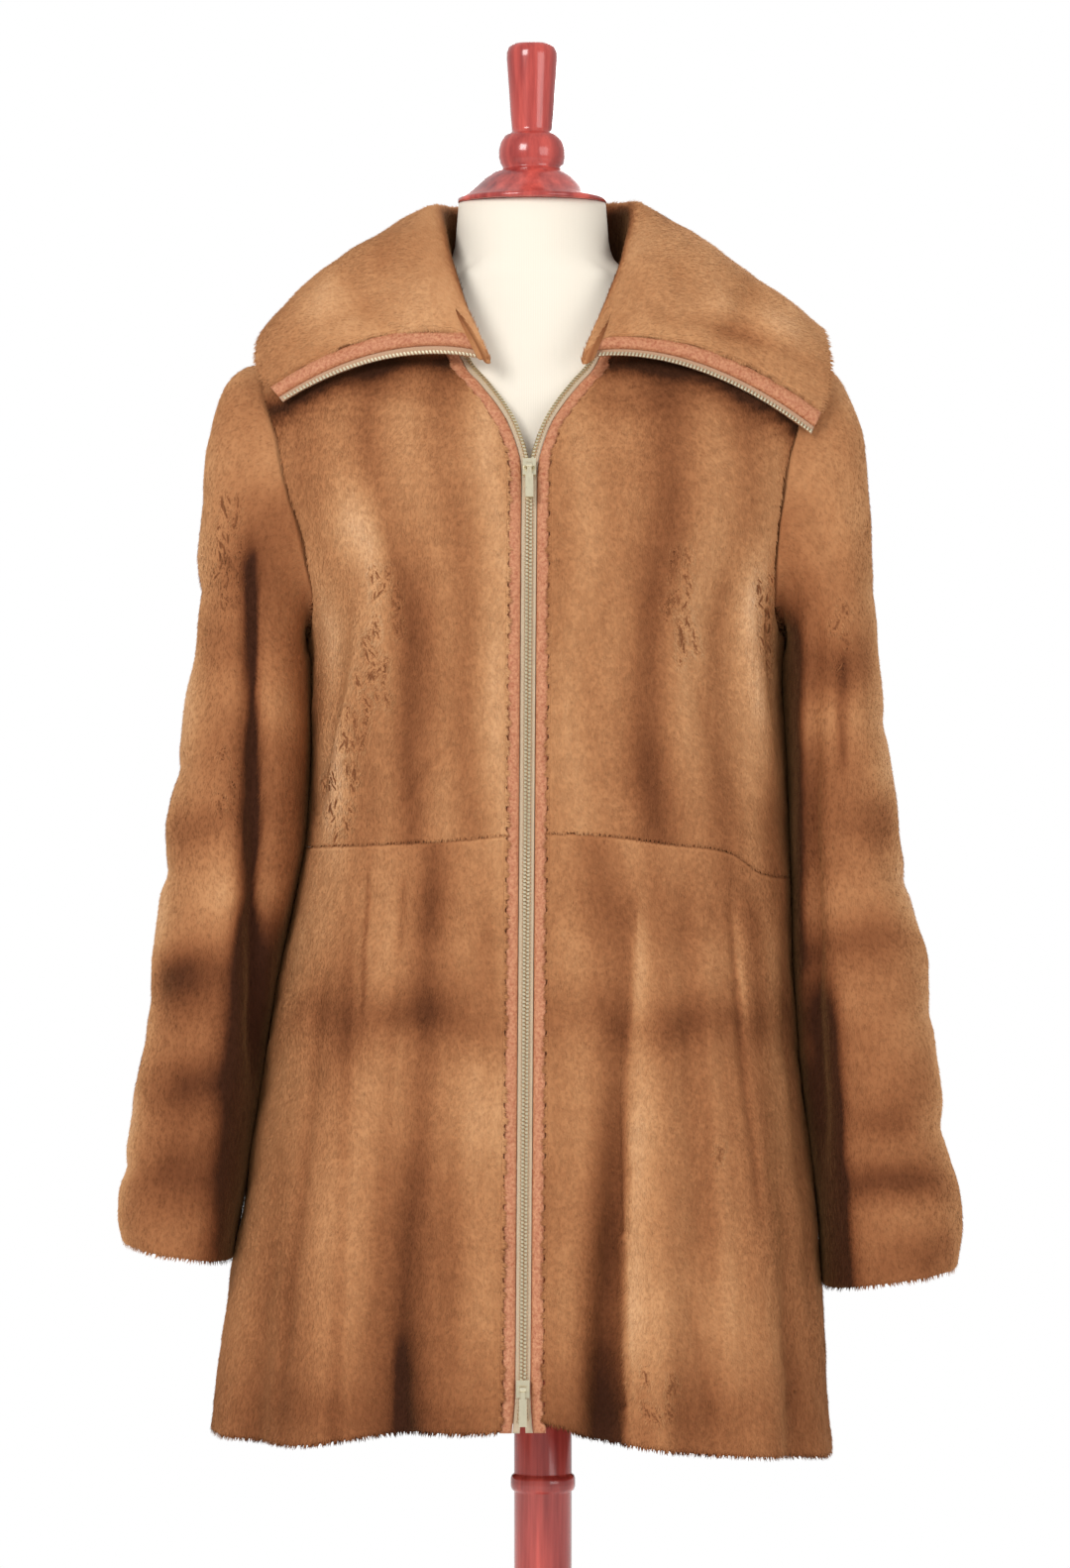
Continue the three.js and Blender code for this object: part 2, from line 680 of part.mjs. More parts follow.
const box = (width, depth, height, x, y, z) => wasm.Manifold
  .cube([width, depth, height], true)
  .translate([x, y, z]);
const rodAlongX = (length, radius, y, z) => wasm.Manifold
  .cylinder(length, radius, radius, 16, true)
  .rotate([0, 90, 0])
  .translate([0, y, z]);

function manifoldGeometry(solid) {
  const mesh = solid.getMesh();
  const points = [];
  for (let v = 0; v < mesh.vertProperties.length; v += mesh.numProp) {
    points.push(vec(mesh.vertProperties[v], mesh.vertProperties[v + 1], mesh.vertProperties[v + 2]));
  }
  return geometryOf(points, Array.from(mesh.triVerts));
}

const sliderWidth = 9;
const sliderLength = 12;
const sliderThickness = 3.4;
const pinLift = 3.4;
const pinRadius = 0.8;
const eyeRadius = 2.1;
const eyeWidth = 4.2;
const tabWidth = 5.4;

// Slider in its own frame: the zip's surface is the XZ plane and -Y is off the coat
function sliderSolid() {
  const body = box(sliderWidth, sliderThickness, sliderLength, 0, -sliderThickness / 2, 0);
  const postX = eyeWidth / 2 + 0.3 + 0.6;
  const postReach = pinLift + pinRadius + 0.4;
  const posts = [-1, 1].map((s) => box(
    1.2, postReach, 2.6, s * postX, -sliderThickness - postReach / 2 + 0.01, 0));
  const pin = rodAlongX(2 * postX, pinRadius, -sliderThickness - pinLift, 0);
  return wasm.Manifold.union([body, ...posts, pin]);
}

// Pull tab in the slider's frame, with its eye round the pin, hanging down
function pullSolid(length) {
  const eyeY = -sliderThickness - pinLift;
  const eye = rodAlongX(eyeWidth, eyeRadius, eyeY, 0);
  const neck = box(3, 1.5, 6, 0, eyeY, -4);
  const plate = box(tabWidth, 1.5, length - 7, 0, eyeY, -(length + 7) / 2 + 0.5);
  const hole = rodAlongX(eyeWidth + 1, pinRadius + 0.35, eyeY, 0);
  return wasm.Manifold.union([eye, neck, plate]).subtract(hole);
}

function placeSlider(solid, z) {
  const angle = frontAngle(zipLine(z), z);
  const spot = bodyPoint(angle, z, false);
  const high = bodyPoint(angle, z + 8, false);
  const low = bodyPoint(angle, z - 8, false);
  const lean = Math.atan2(high.y - low.y, high.z - low.z) * 180 / Math.PI;
  return solid.rotate([-lean, 0, 0]).translate([spot.x, spot.y + 1.2, spot.z]);
}

const topSliderHeight = 1265;
const bottomSliderHeight = 636;

// Dress form and stand

const neckX = -2;
const poleX = 5.6;
const poleRadius = 20.3;

// Half width and depths of the form; cling is how far a section follows the coat's inside, at a gap
const formSections = [
  { z: 782, half: 150, front: 92, back: 96, cling: 0, gap: 1 },
  { z: 786, half: 161, front: 99, back: 104, cling: 0, gap: 1 },
  { z: 840, half: 165, front: 101, back: 108, cling: 0, gap: 1 },
  { z: 900, half: 160, front: 99, back: 104, cling: 0, gap: 1 },
  { z: 960, half: 138, front: 90, back: 90, cling: 0, gap: 1 },
  { z: 1030, half: 122, front: 84, back: 80, cling: 0, gap: 1 },
  { z: 1090, half: 130, front: 92, back: 86, cling: 0, gap: 1 },
  { z: 1160, half: 143, front: 104, back: 96, cling: 0, gap: 1 },
  { z: 1215, half: 154, front: 106, back: 101, cling: 0, gap: 1 },
  { z: 1265, half: 164, front: 98, back: 98, cling: 0, gap: 1 },
  { z: 1300, half: 170, front: 84, back: 88, cling: 0.2, gap: 1 },
  { z: 1326, half: 172, front: 74, back: 78, cling: 0.8, gap: 1 },
  { z: 1346, half: 172, front: 64, back: 68, cling: 1, gap: 0.9 },
  { z: 1362.5, half: 150, front: 58, back: 62, cling: 1, gap: 0.9 },
  { z: 1379, half: 130, front: 52, back: 57, cling: 1, gap: 0.9 },
  { z: 1395.5, half: 98, front: 46, back: 51, cling: 1, gap: 2.8 },
  { z: 1412, half: 75, front: 43, back: 47, cling: 1, gap: 3.6 },
  { z: 1412.5, half: 57, front: 44, back: 44, cling: 0, gap: 1 },
  { z: 1432, half: 54, front: 44, back: 43, cling: 0, gap: 1 },
  { z: 1457.7, half: 52, front: 46, back: 44, cling: 0, gap: 1 },
];
const formSegments = 40;

function torsoGeometry() {
  const points = [];
  const faces = [];
  for (const row of formSections) {
    for (let k = 0; k < formSegments; k += 1) {
      const angle = 360 * k / formSegments;
      const s = Math.sin(toRadians(angle));
      const c = Math.cos(toRadians(angle));
      const shift = mix(poleX, neckX, clamp((row.z - 780) / 650));
      const power = row.z > 1412 ? 1 : 0.9;
      const own = vec(
        shift + signedPower(s, power) * row.half,
        -signedPower(c, power) * (c > 0 ? row.front : row.back),
        row.z,
      );
      const touching = bodyDeep(angle, row.z, furWall + row.gap, false);
      points.push(own.lerp(touching, row.cling));
    }
  }
  const ring = (i, k) => i * formSegments + k % formSegments;
  const last = formSections.length - 1;
  const foot = points.push(vec(poleX, 0, formSections[0].z)) - 1;
  const head = points.push(vec(neckX, 0, formSections[last].z)) - 1;
  for (let k = 0; k < formSegments; k += 1) {
    for (let i = 0; i < last; i += 1) {
      faces.push(ring(i, k), ring(i, k + 1), ring(i + 1, k + 1));
      faces.push(ring(i, k), ring(i + 1, k + 1), ring(i + 1, k));
    }
    faces.push(foot, ring(0, k + 1), ring(0, k));
    faces.push(head, ring(last, k), ring(last, k + 1));
  }
  return geometryOf(points, faces);
}

const capProfile = [
  { r: 0, z: 1571 },
  { r: 12, z: 1571 },
  { r: 16.6, z: 1568 },
  { r: 18, z: 1561 },
  { r: 16.6, z: 1541 },
  { r: 15.2, z: 1520 },
  { r: 14, z: 1508 },
  { r: 19.5, z: 1505 },
  { r: 23.4, z: 1497 },
  { r: 23.4, z: 1489 },
  { r: 20.5, z: 1483 },
  { r: 27, z: 1480 },
  { r: 34, z: 1475 },
  { r: 44, z: 1466 },
  { r: 52.5, z: 1461.5 },
  { r: 52.5, z: 1458 },
  { r: 0, z: 1458 },
];

const beadHeight = 555;
const poleProfile = [
  { r: 0, z: 781.7 },
  { r: poleRadius, z: 781.7 },
  { r: poleRadius, z: beadHeight + 6 },
  { r: poleRadius + 2.4, z: beadHeight + 3.5 },
  { r: poleRadius + 2.4, z: beadHeight - 3.5 },
  { r: poleRadius, z: beadHeight - 6 },
  { r: poleRadius, z: 46.3 },
  { r: 0, z: 46.3 },
];

const baseRadius = 165;
const baseProfile = [
  { r: 0, z: 46 },
  { r: 30, z: 46 },
  { r: 33, z: 42 },
  { r: 40, z: 34 },
  { r: 60, z: 30 },
  { r: 110, z: 27 },
  { r: 148, z: 25 },
  { r: 160, z: 21 },
  { r: baseRadius, z: 13 },
  { r: baseRadius, z: 3 },
  { r: baseRadius - 3, z: 0 },
  { r: 0, z: 0 },
];

// Colours of the materials

const paint = (name, colour, roughness, metalness = 0) => {
  const material = new THREE.MeshStandardMaterial({ color: colour, roughness, metalness });
  material.name = name;
  return material;
};
const fur = paint('sheared fur', 0xb37a4c, 0.95);
const leather = paint('leather', 0xc48663, 0.6);
const tape = paint('zip', 0xb9a587, 0.7);
const metal = paint('zip metal', 0xc8be96, 0.35, 1);
const jersey = paint('jersey', 0xfaf5e8, 0.9);
const wood = paint('varnished wood', 0x8e2a22, 0.3);

const model = new THREE.Group();
model.name = 'fur_coat_on_form';

function add(name, geometry, material) {
  const mesh = new THREE.Mesh(geometry, material);
  mesh.name = name;
  model.add(mesh);
}

add('bodice_front_right', bodiceFront(-1), fur);
add('bodice_front_left', bodiceFront(1), fur);
add('bodice_back', bodiceBack(), fur);
add('skirt_front_right', skirtFront(-1), fur);
add('skirt_front_left', skirtFront(1), fur);
add('skirt_back', skirtWhole(), fur);
add('sleeve_right', sleeve(-1), fur);
add('sleeve_left', sleeve(1), fur);
add('collar', collarPart(collarTrimEnd, lastRib - collarTrimEnd, 30, 0, collarWall, false), fur);

add('trim_right', frontStrip(-1, trimProfile, frontHem(-1)), leather);
add('trim_left', frontStrip(1, trimProfile, frontHem(1)), leather);
add('zip_right', frontStrip(-1, zipProfile, frontHem(-1)), tape);
add('zip_left', frontStrip(1, zipProfile, frontHem(1)), tape);

const trimFrom = ribSeam;
const trimTo = collarTrimEnd - ribSeam;
add('collar_trim_right', collarPart(trimFrom, trimTo, 2, 1.6, collarWall - 1, true), leather);
add(
  'collar_trim_left',
  collarPart(lastRib - trimTo, lastRib - trimFrom, 2, 1.6, collarWall - 1, true),
  leather,
);
add('collar_zip_right', collarPart(-collarTapeEnd, 0, 1, 4, 6, true), tape);
add('collar_zip_left', collarPart(lastRib, lastRib + collarTapeEnd, 1, 4, 6, true), tape);

add('slider_top', manifoldGeometry(placeSlider(sliderSolid(), topSliderHeight)), metal);
add('pull_top', manifoldGeometry(placeSlider(pullSolid(24), topSliderHeight)), metal);
add('slider_bottom', manifoldGeometry(placeSlider(sliderSolid(), bottomSliderHeight)), metal);
add('pull_bottom', manifoldGeometry(placeSlider(pullSolid(26), bottomSliderHeight)), metal);

add('torso', torsoGeometry(), jersey);
add('neck_cap', turned(capProfile, 28, neckX, 0), wood);
add('pole', turned(poleProfile, 24, poleX, 0), wood);
add('base', turned(baseProfile, 36, 0, 0), wood);

export default model;
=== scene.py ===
"""Looks of the sheared fur coat on its dress form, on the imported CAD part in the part's own frame."""

import math

import bpy
import numpy as np
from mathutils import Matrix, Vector


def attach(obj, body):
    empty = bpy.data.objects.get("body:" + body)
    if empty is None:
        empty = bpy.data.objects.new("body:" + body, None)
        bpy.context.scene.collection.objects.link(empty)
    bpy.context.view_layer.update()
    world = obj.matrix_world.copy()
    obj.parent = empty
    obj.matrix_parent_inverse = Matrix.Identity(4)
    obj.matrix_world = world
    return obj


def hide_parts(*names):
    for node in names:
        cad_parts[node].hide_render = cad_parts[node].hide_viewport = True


MM = 0.001
FUR_WALL = 7.0
COLLAR_WALL = 9.0
SQUARENESS = 0.87

# Same forms as the CAD solids, in millimetres


def table(columns, rows):
    """A table as a dict of column name to numpy array, sorted by its first column."""
    data = np.array(sorted(rows), dtype=float)
    return {name: data[:, k] for k, name in enumerate(columns)}


def read(tab, key, at):
    """Every column of a table at the values at of its key column, with a smooth curve between rows."""
    keys = tab[key]
    at = np.asarray(at, dtype=float)
    k = np.clip(np.searchsorted(keys, at) - 1, 0, len(keys) - 2)
    step = keys[k + 1] - keys[k]
    t = np.clip((at - keys[k]) / step, 0, 1)
    out = {}
    last = len(keys) - 1
    for name, col in tab.items():
        before, after = np.maximum(k - 1, 0), np.minimum(k + 2, last)
        slope0 = (col[k + 1] - col[before]) / (keys[k + 1] - keys[before]) * step
        slope1 = (col[after] - col[k]) / (keys[after] - keys[k]) * step
        out[name] = (
            col[k] * (2 * t**3 - 3 * t**2 + 1)
            + slope0 * (t**3 - 2 * t**2 + t)
            + col[k + 1] * (3 * t**2 - 2 * t**3)
            + slope1 * (t**3 - t**2)
        )
    return out


def mix(a, b, t):
    return a + (b - a) * t


def ease(t):
    t = np.clip(t, 0, 1)
    return t * t * (3 - 2 * t)


def power(v, p):
    return np.sign(v) * np.abs(v) ** p


def unit(v):
    return v / np.maximum(np.linalg.norm(v, axis=-1, keepdims=True), 1e-9)


def bump(distance, width):
    return np.exp(-((distance / width) ** 2))


BODY = table(
    ("z", "left", "right", "front", "back"),
    [
        (560, 229, 210, 151, 170), (622, 225, 206, 147, 162), (692, 216, 202, 141, 153),
        (762, 204, 197, 135, 143), (832, 193, 188, 129, 134), (902, 182, 182, 123, 125),
        (972, 168, 180, 116, 115), (1008, 161, 179, 112, 109), (1060, 158, 177, 114, 110),
        (1119, 156, 173, 118, 113), (1165, 161, 176, 121, 116), (1210, 184, 192, 121, 118),
        (1255, 202, 203, 117, 117), (1304, 206, 206, 99, 104), (1328, 201, 201, 84, 90),
        (1346, 187, 187, 70, 76), (1368, 151, 151, 60, 67), (1391, 107, 107, 53, 62),
        (1412, 71, 71, 48, 60),
    ],
)

# Folds of the solids: start angle and height, end angle and height, width, height, and 1 if one
# reaches the hem
BODY_FOLDS = [
    (19, 950, 10, 560, 4.5, -21, 1), (26, 960, 19, 560, 5, 7, 1), (50, 1010, 44, 560, 9, 9, 1),
    (62, 900, 60, 560, 7, -9, 1), (-28, 860, -22, 560, 5, -15, 1), (-42, 960, -36, 560, 9, 8, 1),
    (-64, 880, -60, 560, 8, -10, 1), (118, 950, 122, 560, 9, -14, 1), (142, 980, 146, 560, 10, 8, 1),
    (166, 960, 168, 560, 7, -16, 1), (-168, 900, -172, 560, 8, 7, 1), (-148, 970, -152, 560, 8, -15, 1),
    (-122, 930, -120, 560, 9, 7, 1), (-38, 1190, -62, 1012, 7, 5, 0), (-52, 1180, -74, 1020, 7, -4, 0),
    (58, 1200, 66, 1030, 7, 5, 0), (44, 1230, 50, 1020, 7, -4, 0), (152, 1230, 160, 1010, 9, -5, 0),
    (-150, 1210, -158, 1020, 9, -5, 0),
]

HEM = table(
    ("angle", "z"),
    [
        (-180, 578), (-130, 586), (-90, 592), (-58, 594), (-40, 595), (-22, 605), (-6, 606), (1, 612),
        (10, 601), (28, 591), (55, 584), (90, 576), (130, 580), (180, 578),
    ],
)
WAIST = table(
    ("angle", "z"),
    [
        (-180, 1000), (-120, 1003), (-60, 1005), (-20, 1009), (-4, 1013), (8, 1014), (28, 1007),
        (46, 1001), (60, 986), (90, 984), (130, 990), (180, 1000),
    ],
)
OPENING = table(
    ("z", "half"),
    [
        (560, 2.6), (600, 2.2), (625, 0.4), (640, 0), (700, 0), (1255, 0), (1274, 1.2), (1297, 8.5),
        (1314, 18), (1328, 28.5), (1342, 40), (1368, 52), (1392, 59), (1412, 62),
    ],
)

NECK_TOP = 1412
STRIP_TOP = 1336
ZIP_TOP = 1255
TAPE_WIDTH = 5
TRIM_WIDTH = 9.4
SEAM = 0.34
ARMHOLE_CENTRE = 1248.5
ARMHOLE_HALF = 97.5
ARMHOLE_SPREAD = 34


def around(angle):
    """The angle brought to between -180 and 180."""
    return (np.asarray(angle, dtype=float) + 540) % 360 - 180


def fold_height(angle, z):
    height = np.zeros(np.broadcast(angle, z).shape)
    for a0, z0, a1, z1, width, size, to_hem in BODY_FOLDS:
        along = (z0 - z) / (z0 - z1)
        away = around(angle - mix(a0, a1, along))
        if to_hem:
            grown = ease(along * 1.15)
        else:
            grown = np.sin(np.pi * np.clip(along, 0, 1)) ** 0.8
        height = height + size * grown * bump(away, width)
    return height


def body_point(angle, z, folded=True):
    row = read(BODY, "z", z)
    s, c = np.sin(np.radians(angle)), np.cos(np.radians(angle))
    x = power(s, SQUARENESS) * np.where(s < 0, row["left"], row["right"])
    y = -power(c, SQUARENESS) * np.where(c > 0, row["front"], row["back"])
    scale = 1 + (fold_height(angle, z) / np.hypot(x, y) if folded else 0)
    return np.stack([x * scale, y * scale, np.broadcast_to(z, x.shape)], -1)


def body_normal(angle, z, folded=True):
    up = body_point(angle, z + 2, folded) - body_point(angle, z - 2, folded)
    across = body_point(angle + 1.5, z, folded) - body_point(angle - 1.5, z, folded)
    return unit(np.cross(across, up))


def front_angle(x, z):
    """Angle at which the front of the body has a given x."""
    x, z = np.broadcast_arrays(np.asarray(x, float), np.asarray(z, float))
    low, high = np.full(x.shape, -88.0), np.full(x.shape, 88.0)
    for _ in range(34):
        middle = (low + high) / 2
        left = body_point(middle, z, False)[..., 0] < x
        low, high = np.where(left, middle, low), np.where(left, high, middle)
    return (low + high) / 2


def zip_line(z):
    return mix(-8.5, -3.5, np.clip((z - 600) / 720, 0, 1))


def opening(z):
    return np.maximum(0, read(OPENING, "z", z)["half"])


def slant(z):
    return np.hypot(1, np.minimum((opening(z + 3) - opening(z - 3)) / 6, 1))


def front_edge(side, z):
    whole = (TAPE_WIDTH + TRIM_WIDTH + SEAM) * slant(z)
    reach = opening(z) + mix(whole, 4, ease((z - STRIP_TOP - 14) / 45))
    return front_angle(zip_line(z) + side * reach, z)


def armhole_spread(z):
    c = np.clip((z - ARMHOLE_CENTRE) / ARMHOLE_HALF, -1, 1)
    return ARMHOLE_SPREAD * np.sqrt(1 - c * c)


COLLAR = table(
    ("rib", "rollX", "rollY", "rollZ", "edgeX", "edgeY", "edgeZ", "bulge"),
    [
        (0, -40, -90, 1349, -180, -66, 1319, 13), (1, -58, -74, 1388, -196, -44, 1340, 15),
        (2, -69, -40, 1428, -195, -8, 1366, 19), (3, -73, 6, 1457, -186, 46, 1360, 11),
        (4, -60, 38, 1461, -149, 94, 1330, 16), (5, -33, 57, 1461, -80, 124, 1302, 13),
        (6, 0, 65, 1461, 0, 132, 1294, 12), (7, 33, 57, 1462, 82, 124, 1300, 13),
        (8, 62, 38, 1462, 153, 94, 1328, 17), (9, 75, 6, 1458, 192, 46, 1360, 9),
        (10, 69, -40, 1422, 204, -8, 1366, 16), (11, 53, -76, 1378, 208, -44, 1332, 15),
        (12, 42, -90, 1349, 196, -66, 1298, 14),
    ],
)
LAST_RIB = 12
ROLL_RADIUS = 11
ROLL_START = 0.6
STAND_BOTTOM = NECK_TOP + SEAM
COLLAR_TRIM = 0.3
COLLAR_TAPE = 0.14

SLEEVES = {
    -1: table(
        ("z", "outer", "front", "back", "crease", "dent"),
        [
            (718, 290, 74, 62, 160, 0), (745, 293, 76, 64, 158, 0), (776, 290, 77, 65, 156, 0),
            (832, 281, 78, 68, 150, 2), (874, 274, 77, 70, 142, 9), (902, 271, 78, 71, 135, 12),
            (945, 266, 76, 73, 122, 13), (985, 261, 77, 75, 112, 13), (1030, 256, 75, 76, 104, 13),
            (1077, 250, 75, 77, 99, 13), (1128, 242, 73, 77, 95, 12),
        ],
    ),
    1: table(
        ("z", "outer", "front", "back", "crease", "dent"),
        [
            (700, 299, 72, 66, 150, 0), (730, 302, 75, 67, 150, 0), (762, 299, 76, 68, 148, 0),
            (790, 291, 75, 69, 146, 3), (839, 285, 77, 71, 142, 8), (881, 280, 76, 72, 138, 10),
            (930, 274, 77, 74, 134, 11), (979, 264, 73, 75, 132, 11), (1014, 256, 75, 76, 128, 11),
            (1070, 250, 75, 77, 120, 10), (1128, 243.5, 73, 77, 110, 9),
        ],
    ),
}
CUFF_SLOPE = {-1: 8, 1: 7}
CREASE_WIDTH = 11
BACK_CREASE = 250
UNDERARM = 1146
GAP_STARTS = 720
GAP_WIDENS = 1050


def gap_growth(z):
    """Grows from 0 to 1 up the sleeve, where the gap between sleeve and body widens."""
    return ease((z - GAP_WIDENS) / 78)


def tube_point(side, turn, z, soft=0):
    row = read(SLEEVES[side], "z", z)
    c, s = np.cos(np.radians(turn)), np.sin(np.radians(turn))
    body = read(BODY, "z", z)
    near = body["left" if side < 0 else "right"] + mix(0.9, 2.6, gap_growth(z))
    middle, half = (row["outer"] + near) / 2, (row["outer"] - near) / 2
    x = middle + half * power(c, 0.85)
    y = -np.where(s > 0, row["front"], row["back"]) * power(s, 0.85)
    width = CREASE_WIDTH + soft * 14
    dent = row["dent"] * bump(turn - row["crease"], width)
    dent = dent + row["dent"] * 0.6 * bump(turn - BACK_CREASE, width)
    shrink = dent * (0.35 + 0.65 * ease((1180 - z) / 120))
    scale = 1 - shrink / np.hypot(x - middle, y)
    tilt = CUFF_SLOPE[side] * (c + 0.2) * ease((760 - z) / 60)
    return np.stack([side * (middle + (x - middle) * scale), y * scale, z + tilt], -1)


def armhole_point(side, turn, depth):
    c, s = np.cos(np.radians(turn)), np.sin(np.radians(turn))
    z = ARMHOLE_CENTRE + (ARMHOLE_HALF - SEAM) * c
    angle = side * (90 - (ARMHOLE_SPREAD - 0.5) * s)
    return body_point(angle, z) - body_normal(angle, z) * depth


def head_point(side, turn, t):
    start = armhole_point(side, turn, 0)
    top = SLEEVES[side]["z"][-1] + 0 * turn
    end = tube_point(side, turn, top)
    down = unit(tube_point(side, turn, top - 4) - end)
    c, s = np.cos(np.radians(turn)), np.sin(np.radians(turn))
    under = ease((-c - 0.35) / 0.5)[..., None]
    s2 = s * s
    leave = unit(np.stack([side * mix(0.97, 0.75, s2), -0.25 * s, mix(0.04, -0.6, s2)], -1))
    normal = start - armhole_point(side, turn, 1)
    hairpin = body_point(side * 90 + 0 * turn, ARMHOLE_CENTRE + 0 * turn) - start
    hairpin = unit(hairpin - normal * np.sum(hairpin * normal, -1, keepdims=True))
    hairpin = unit(hairpin + np.array([side * 0.5, 0, 0]))
    leave = unit(mix(leave, hairpin, under))
    gap = np.linalg.norm(end - start, axis=-1, keepdims=True)
    start_pull = mix(gap * mix(0.26, 0.34, s2)[..., None], 13, under)
    end_pull = mix(gap * 0.42, 14, under)
    p1, p2 = start + leave * start_pull, end - down * end_pull
    t = np.asarray(t)[..., None]
    u = 1 - t
    return start * u**3 + p1 * 3 * u * u * t + p2 * 3 * u * t * t + end * t**3


def collar_row(rib):
    inside = np.clip(rib, 0, LAST_RIB)
    row = read(COLLAR, "rib", inside)
    over = np.abs(rib - inside)
    near = read(COLLAR, "rib", np.where(rib < 0, 0.2, LAST_RIB - 0.2))
    edge = read(COLLAR, "rib", np.where(rib < 0, 0, LAST_RIB))
    return {k: np.where(over > 0, edge[k] + (edge[k] - near[k]) / 0.2 * over, row[k]) for k in row}


def collar_chain(rib, run):
    """Points of the collar. run is 0 at the stand's foot, 1 at the roll and 2 at the free edge."""
    row = collar_row(rib)
    away = np.stack([row["edgeX"] - row["rollX"], row["edgeY"] - row["rollY"], 0 * rib], -1)
    span = np.linalg.norm(away, axis=-1)
    away = unit(away)
    drop = row["edgeZ"] - row["rollZ"]
    stand = np.maximum(ROLL_RADIUS + 1, row["rollZ"] - STAND_BOTTOM)
    q = np.clip(run - 1, 0, 1)
    turn = np.clip((run - ROLL_START) / (1 - ROLL_START), 0, 1) * np.pi / 2
    rise = np.clip(run / ROLL_START, 0, 1)
    a_stand = -ROLL_RADIUS * np.cos(turn)
    b_roll = -ROLL_RADIUS * (1 - np.sin(turn))
    b_stand = np.where(run < ROLL_START, mix(-stand, -ROLL_RADIUS, rise), b_roll)
    a_fall = span * q
    b_fall = drop * q**1.15 + row["bulge"] * 4 * q * (1 - q)
    a = np.where(run < 1, a_stand, a_fall)
    b = np.where(run < 1, b_stand, b_fall)
    roll = np.stack([row["rollX"], row["rollY"], row["rollZ"]], -1)
    return roll + away * a[..., None] + np.array([0, 0, 1.0]) * b[..., None]


# Grids, shells and fur


def grid_normals(points, wrap=False):
    """Normals of a grid of points [row, column]."""
    if wrap:
        across = np.roll(points, -1, 1) - np.roll(points, 1, 1)
    else:
        across = np.gradient(points, axis=1)
    return unit(np.cross(across, np.gradient(points, axis=0)))


def rounding(distance, radius):
    """How far the surface sinks at a distance from an edge of the given radius."""
    inside = np.clip(radius - distance, 0, radius)
    return radius - np.sqrt(np.maximum(radius**2 - inside**2, 0))


def edge_drop(points, wrap, radii):
    """Sinking toward the first row, the last row, the first column and the last column of a grid."""
    drop = np.zeros(points.shape[:2])
    for edge, radius in enumerate(radii):
        axis, from_far_end = divmod(edge, 2)
        if not radius or (wrap and axis == 1):
            continue
        steps = np.linalg.norm(np.diff(points, axis=axis), axis=-1)
        if from_far_end:
            steps = np.flip(steps, axis)
        run = np.cumsum(steps, axis)
        run = np.concatenate([0 * np.take(run, [0], axis), run], axis)
        if from_far_end:
            run = np.flip(run, axis)
        drop = np.maximum(drop, rounding(run, radius))
    return drop


def crowded(count, edge=0.012):
    """Values from 0 to 1 with extra ones close to each end, where edges are rounded."""
    extra = edge * np.array([0, 0.12, 0.35, 0.7])
    middle = np.linspace(edge, 1 - edge, count)
    return np.concatenate([extra, middle, 1 - extra[::-1]])


def new_mesh(name, points, faces, material, tones=None, uvs=None, normals=None, smooth=True):
    """A mesh object from points in mm."""
    mesh = bpy.data.meshes.new(name)
    faces = faces.tolist() if isinstance(faces, np.ndarray) else faces
    mesh.from_pydata((np.asarray(points) * MM).tolist(), [], faces)
    mesh.materials.append(material)
    mesh.polygons.foreach_set("use_smooth", np.broadcast_to(smooth, len(faces)).tolist())
    if tones is not None:
        layer = mesh.color_attributes.new("tone", "FLOAT_COLOR", "POINT")
        rgba = np.ones((len(mesh.vertices), 4), dtype=np.float32)
        rgba[:, :3] = tones[:, None]
        layer.data.foreach_set("color", rgba.ravel())
    if uvs is not None:
        layer = mesh.uv_layers.new(name="OFBake")
        loops = np.empty(len(mesh.loops), dtype=np.int32)
        mesh.loops.foreach_get("vertex_index", loops)
        layer.data.foreach_set("uv", np.asarray(uvs, dtype=np.float32)[loops].ravel())
    mesh.update()
    if normals is not None:
        mesh.normals_split_custom_set_from_vertices(np.asarray(normals).tolist())
    obj = bpy.data.objects.new(name, mesh)
    bpy.context.scene.collection.objects.link(obj)
    return obj


def shell_faces(rows, columns, wrap):
    """Quads of a closed shell of two grids, the outer one first."""
    across = np.arange(columns if wrap else columns - 1)
    i, j = np.meshgrid(np.arange(rows - 1), across, indexing="ij")
    nxt = (j + 1) % columns
    a, b, c, d = i * columns + j, i * columns + nxt, (i + 1) * columns + nxt, (i + 1) * columns + j
    size, last = rows * columns, (rows - 1) * columns
    outer = np.stack([a, b, c, d], -1).reshape(-1, 4)
    inner = np.stack([a, d, c, b], -1).reshape(-1, 4) + size
    j, nxt = across, (across + 1) % columns
    low = np.stack([nxt, j, j + size, nxt + size], -1)
    high = np.stack([last + j, last + nxt, last + nxt + size, last + j + size], -1)
    faces = [outer, inner, low, high]
    if not wrap:
        start = np.arange(rows - 1) * columns
        end = start + columns - 1
        faces.append(np.stack([start, start + columns, start + columns + size, start + size], -1))
        faces.append(np.stack([end + columns, end, end + size, end + columns + size], -1))
    return np.concatenate(faces)


def flip_if_needed(points, faces):
    """Quads that face out of their closed shell."""
    volume = 0
    for corners in ([0, 1, 2], [0, 2, 3]):
        tri = points[faces[:, corners]]
        volume += np.einsum("ij,ij->", tri[:, 0], np.cross(tri[:, 1], tri[:, 2]))
    return faces[:, ::-1] if volume < 0 else faces


RNG = np.random.default_rng(7)


BLADE_LENGTH = 3.8
BLADE_WIDTH = 1.25
FRONT_FRINGE = 5000
COLLAR_FRINGE = 2400


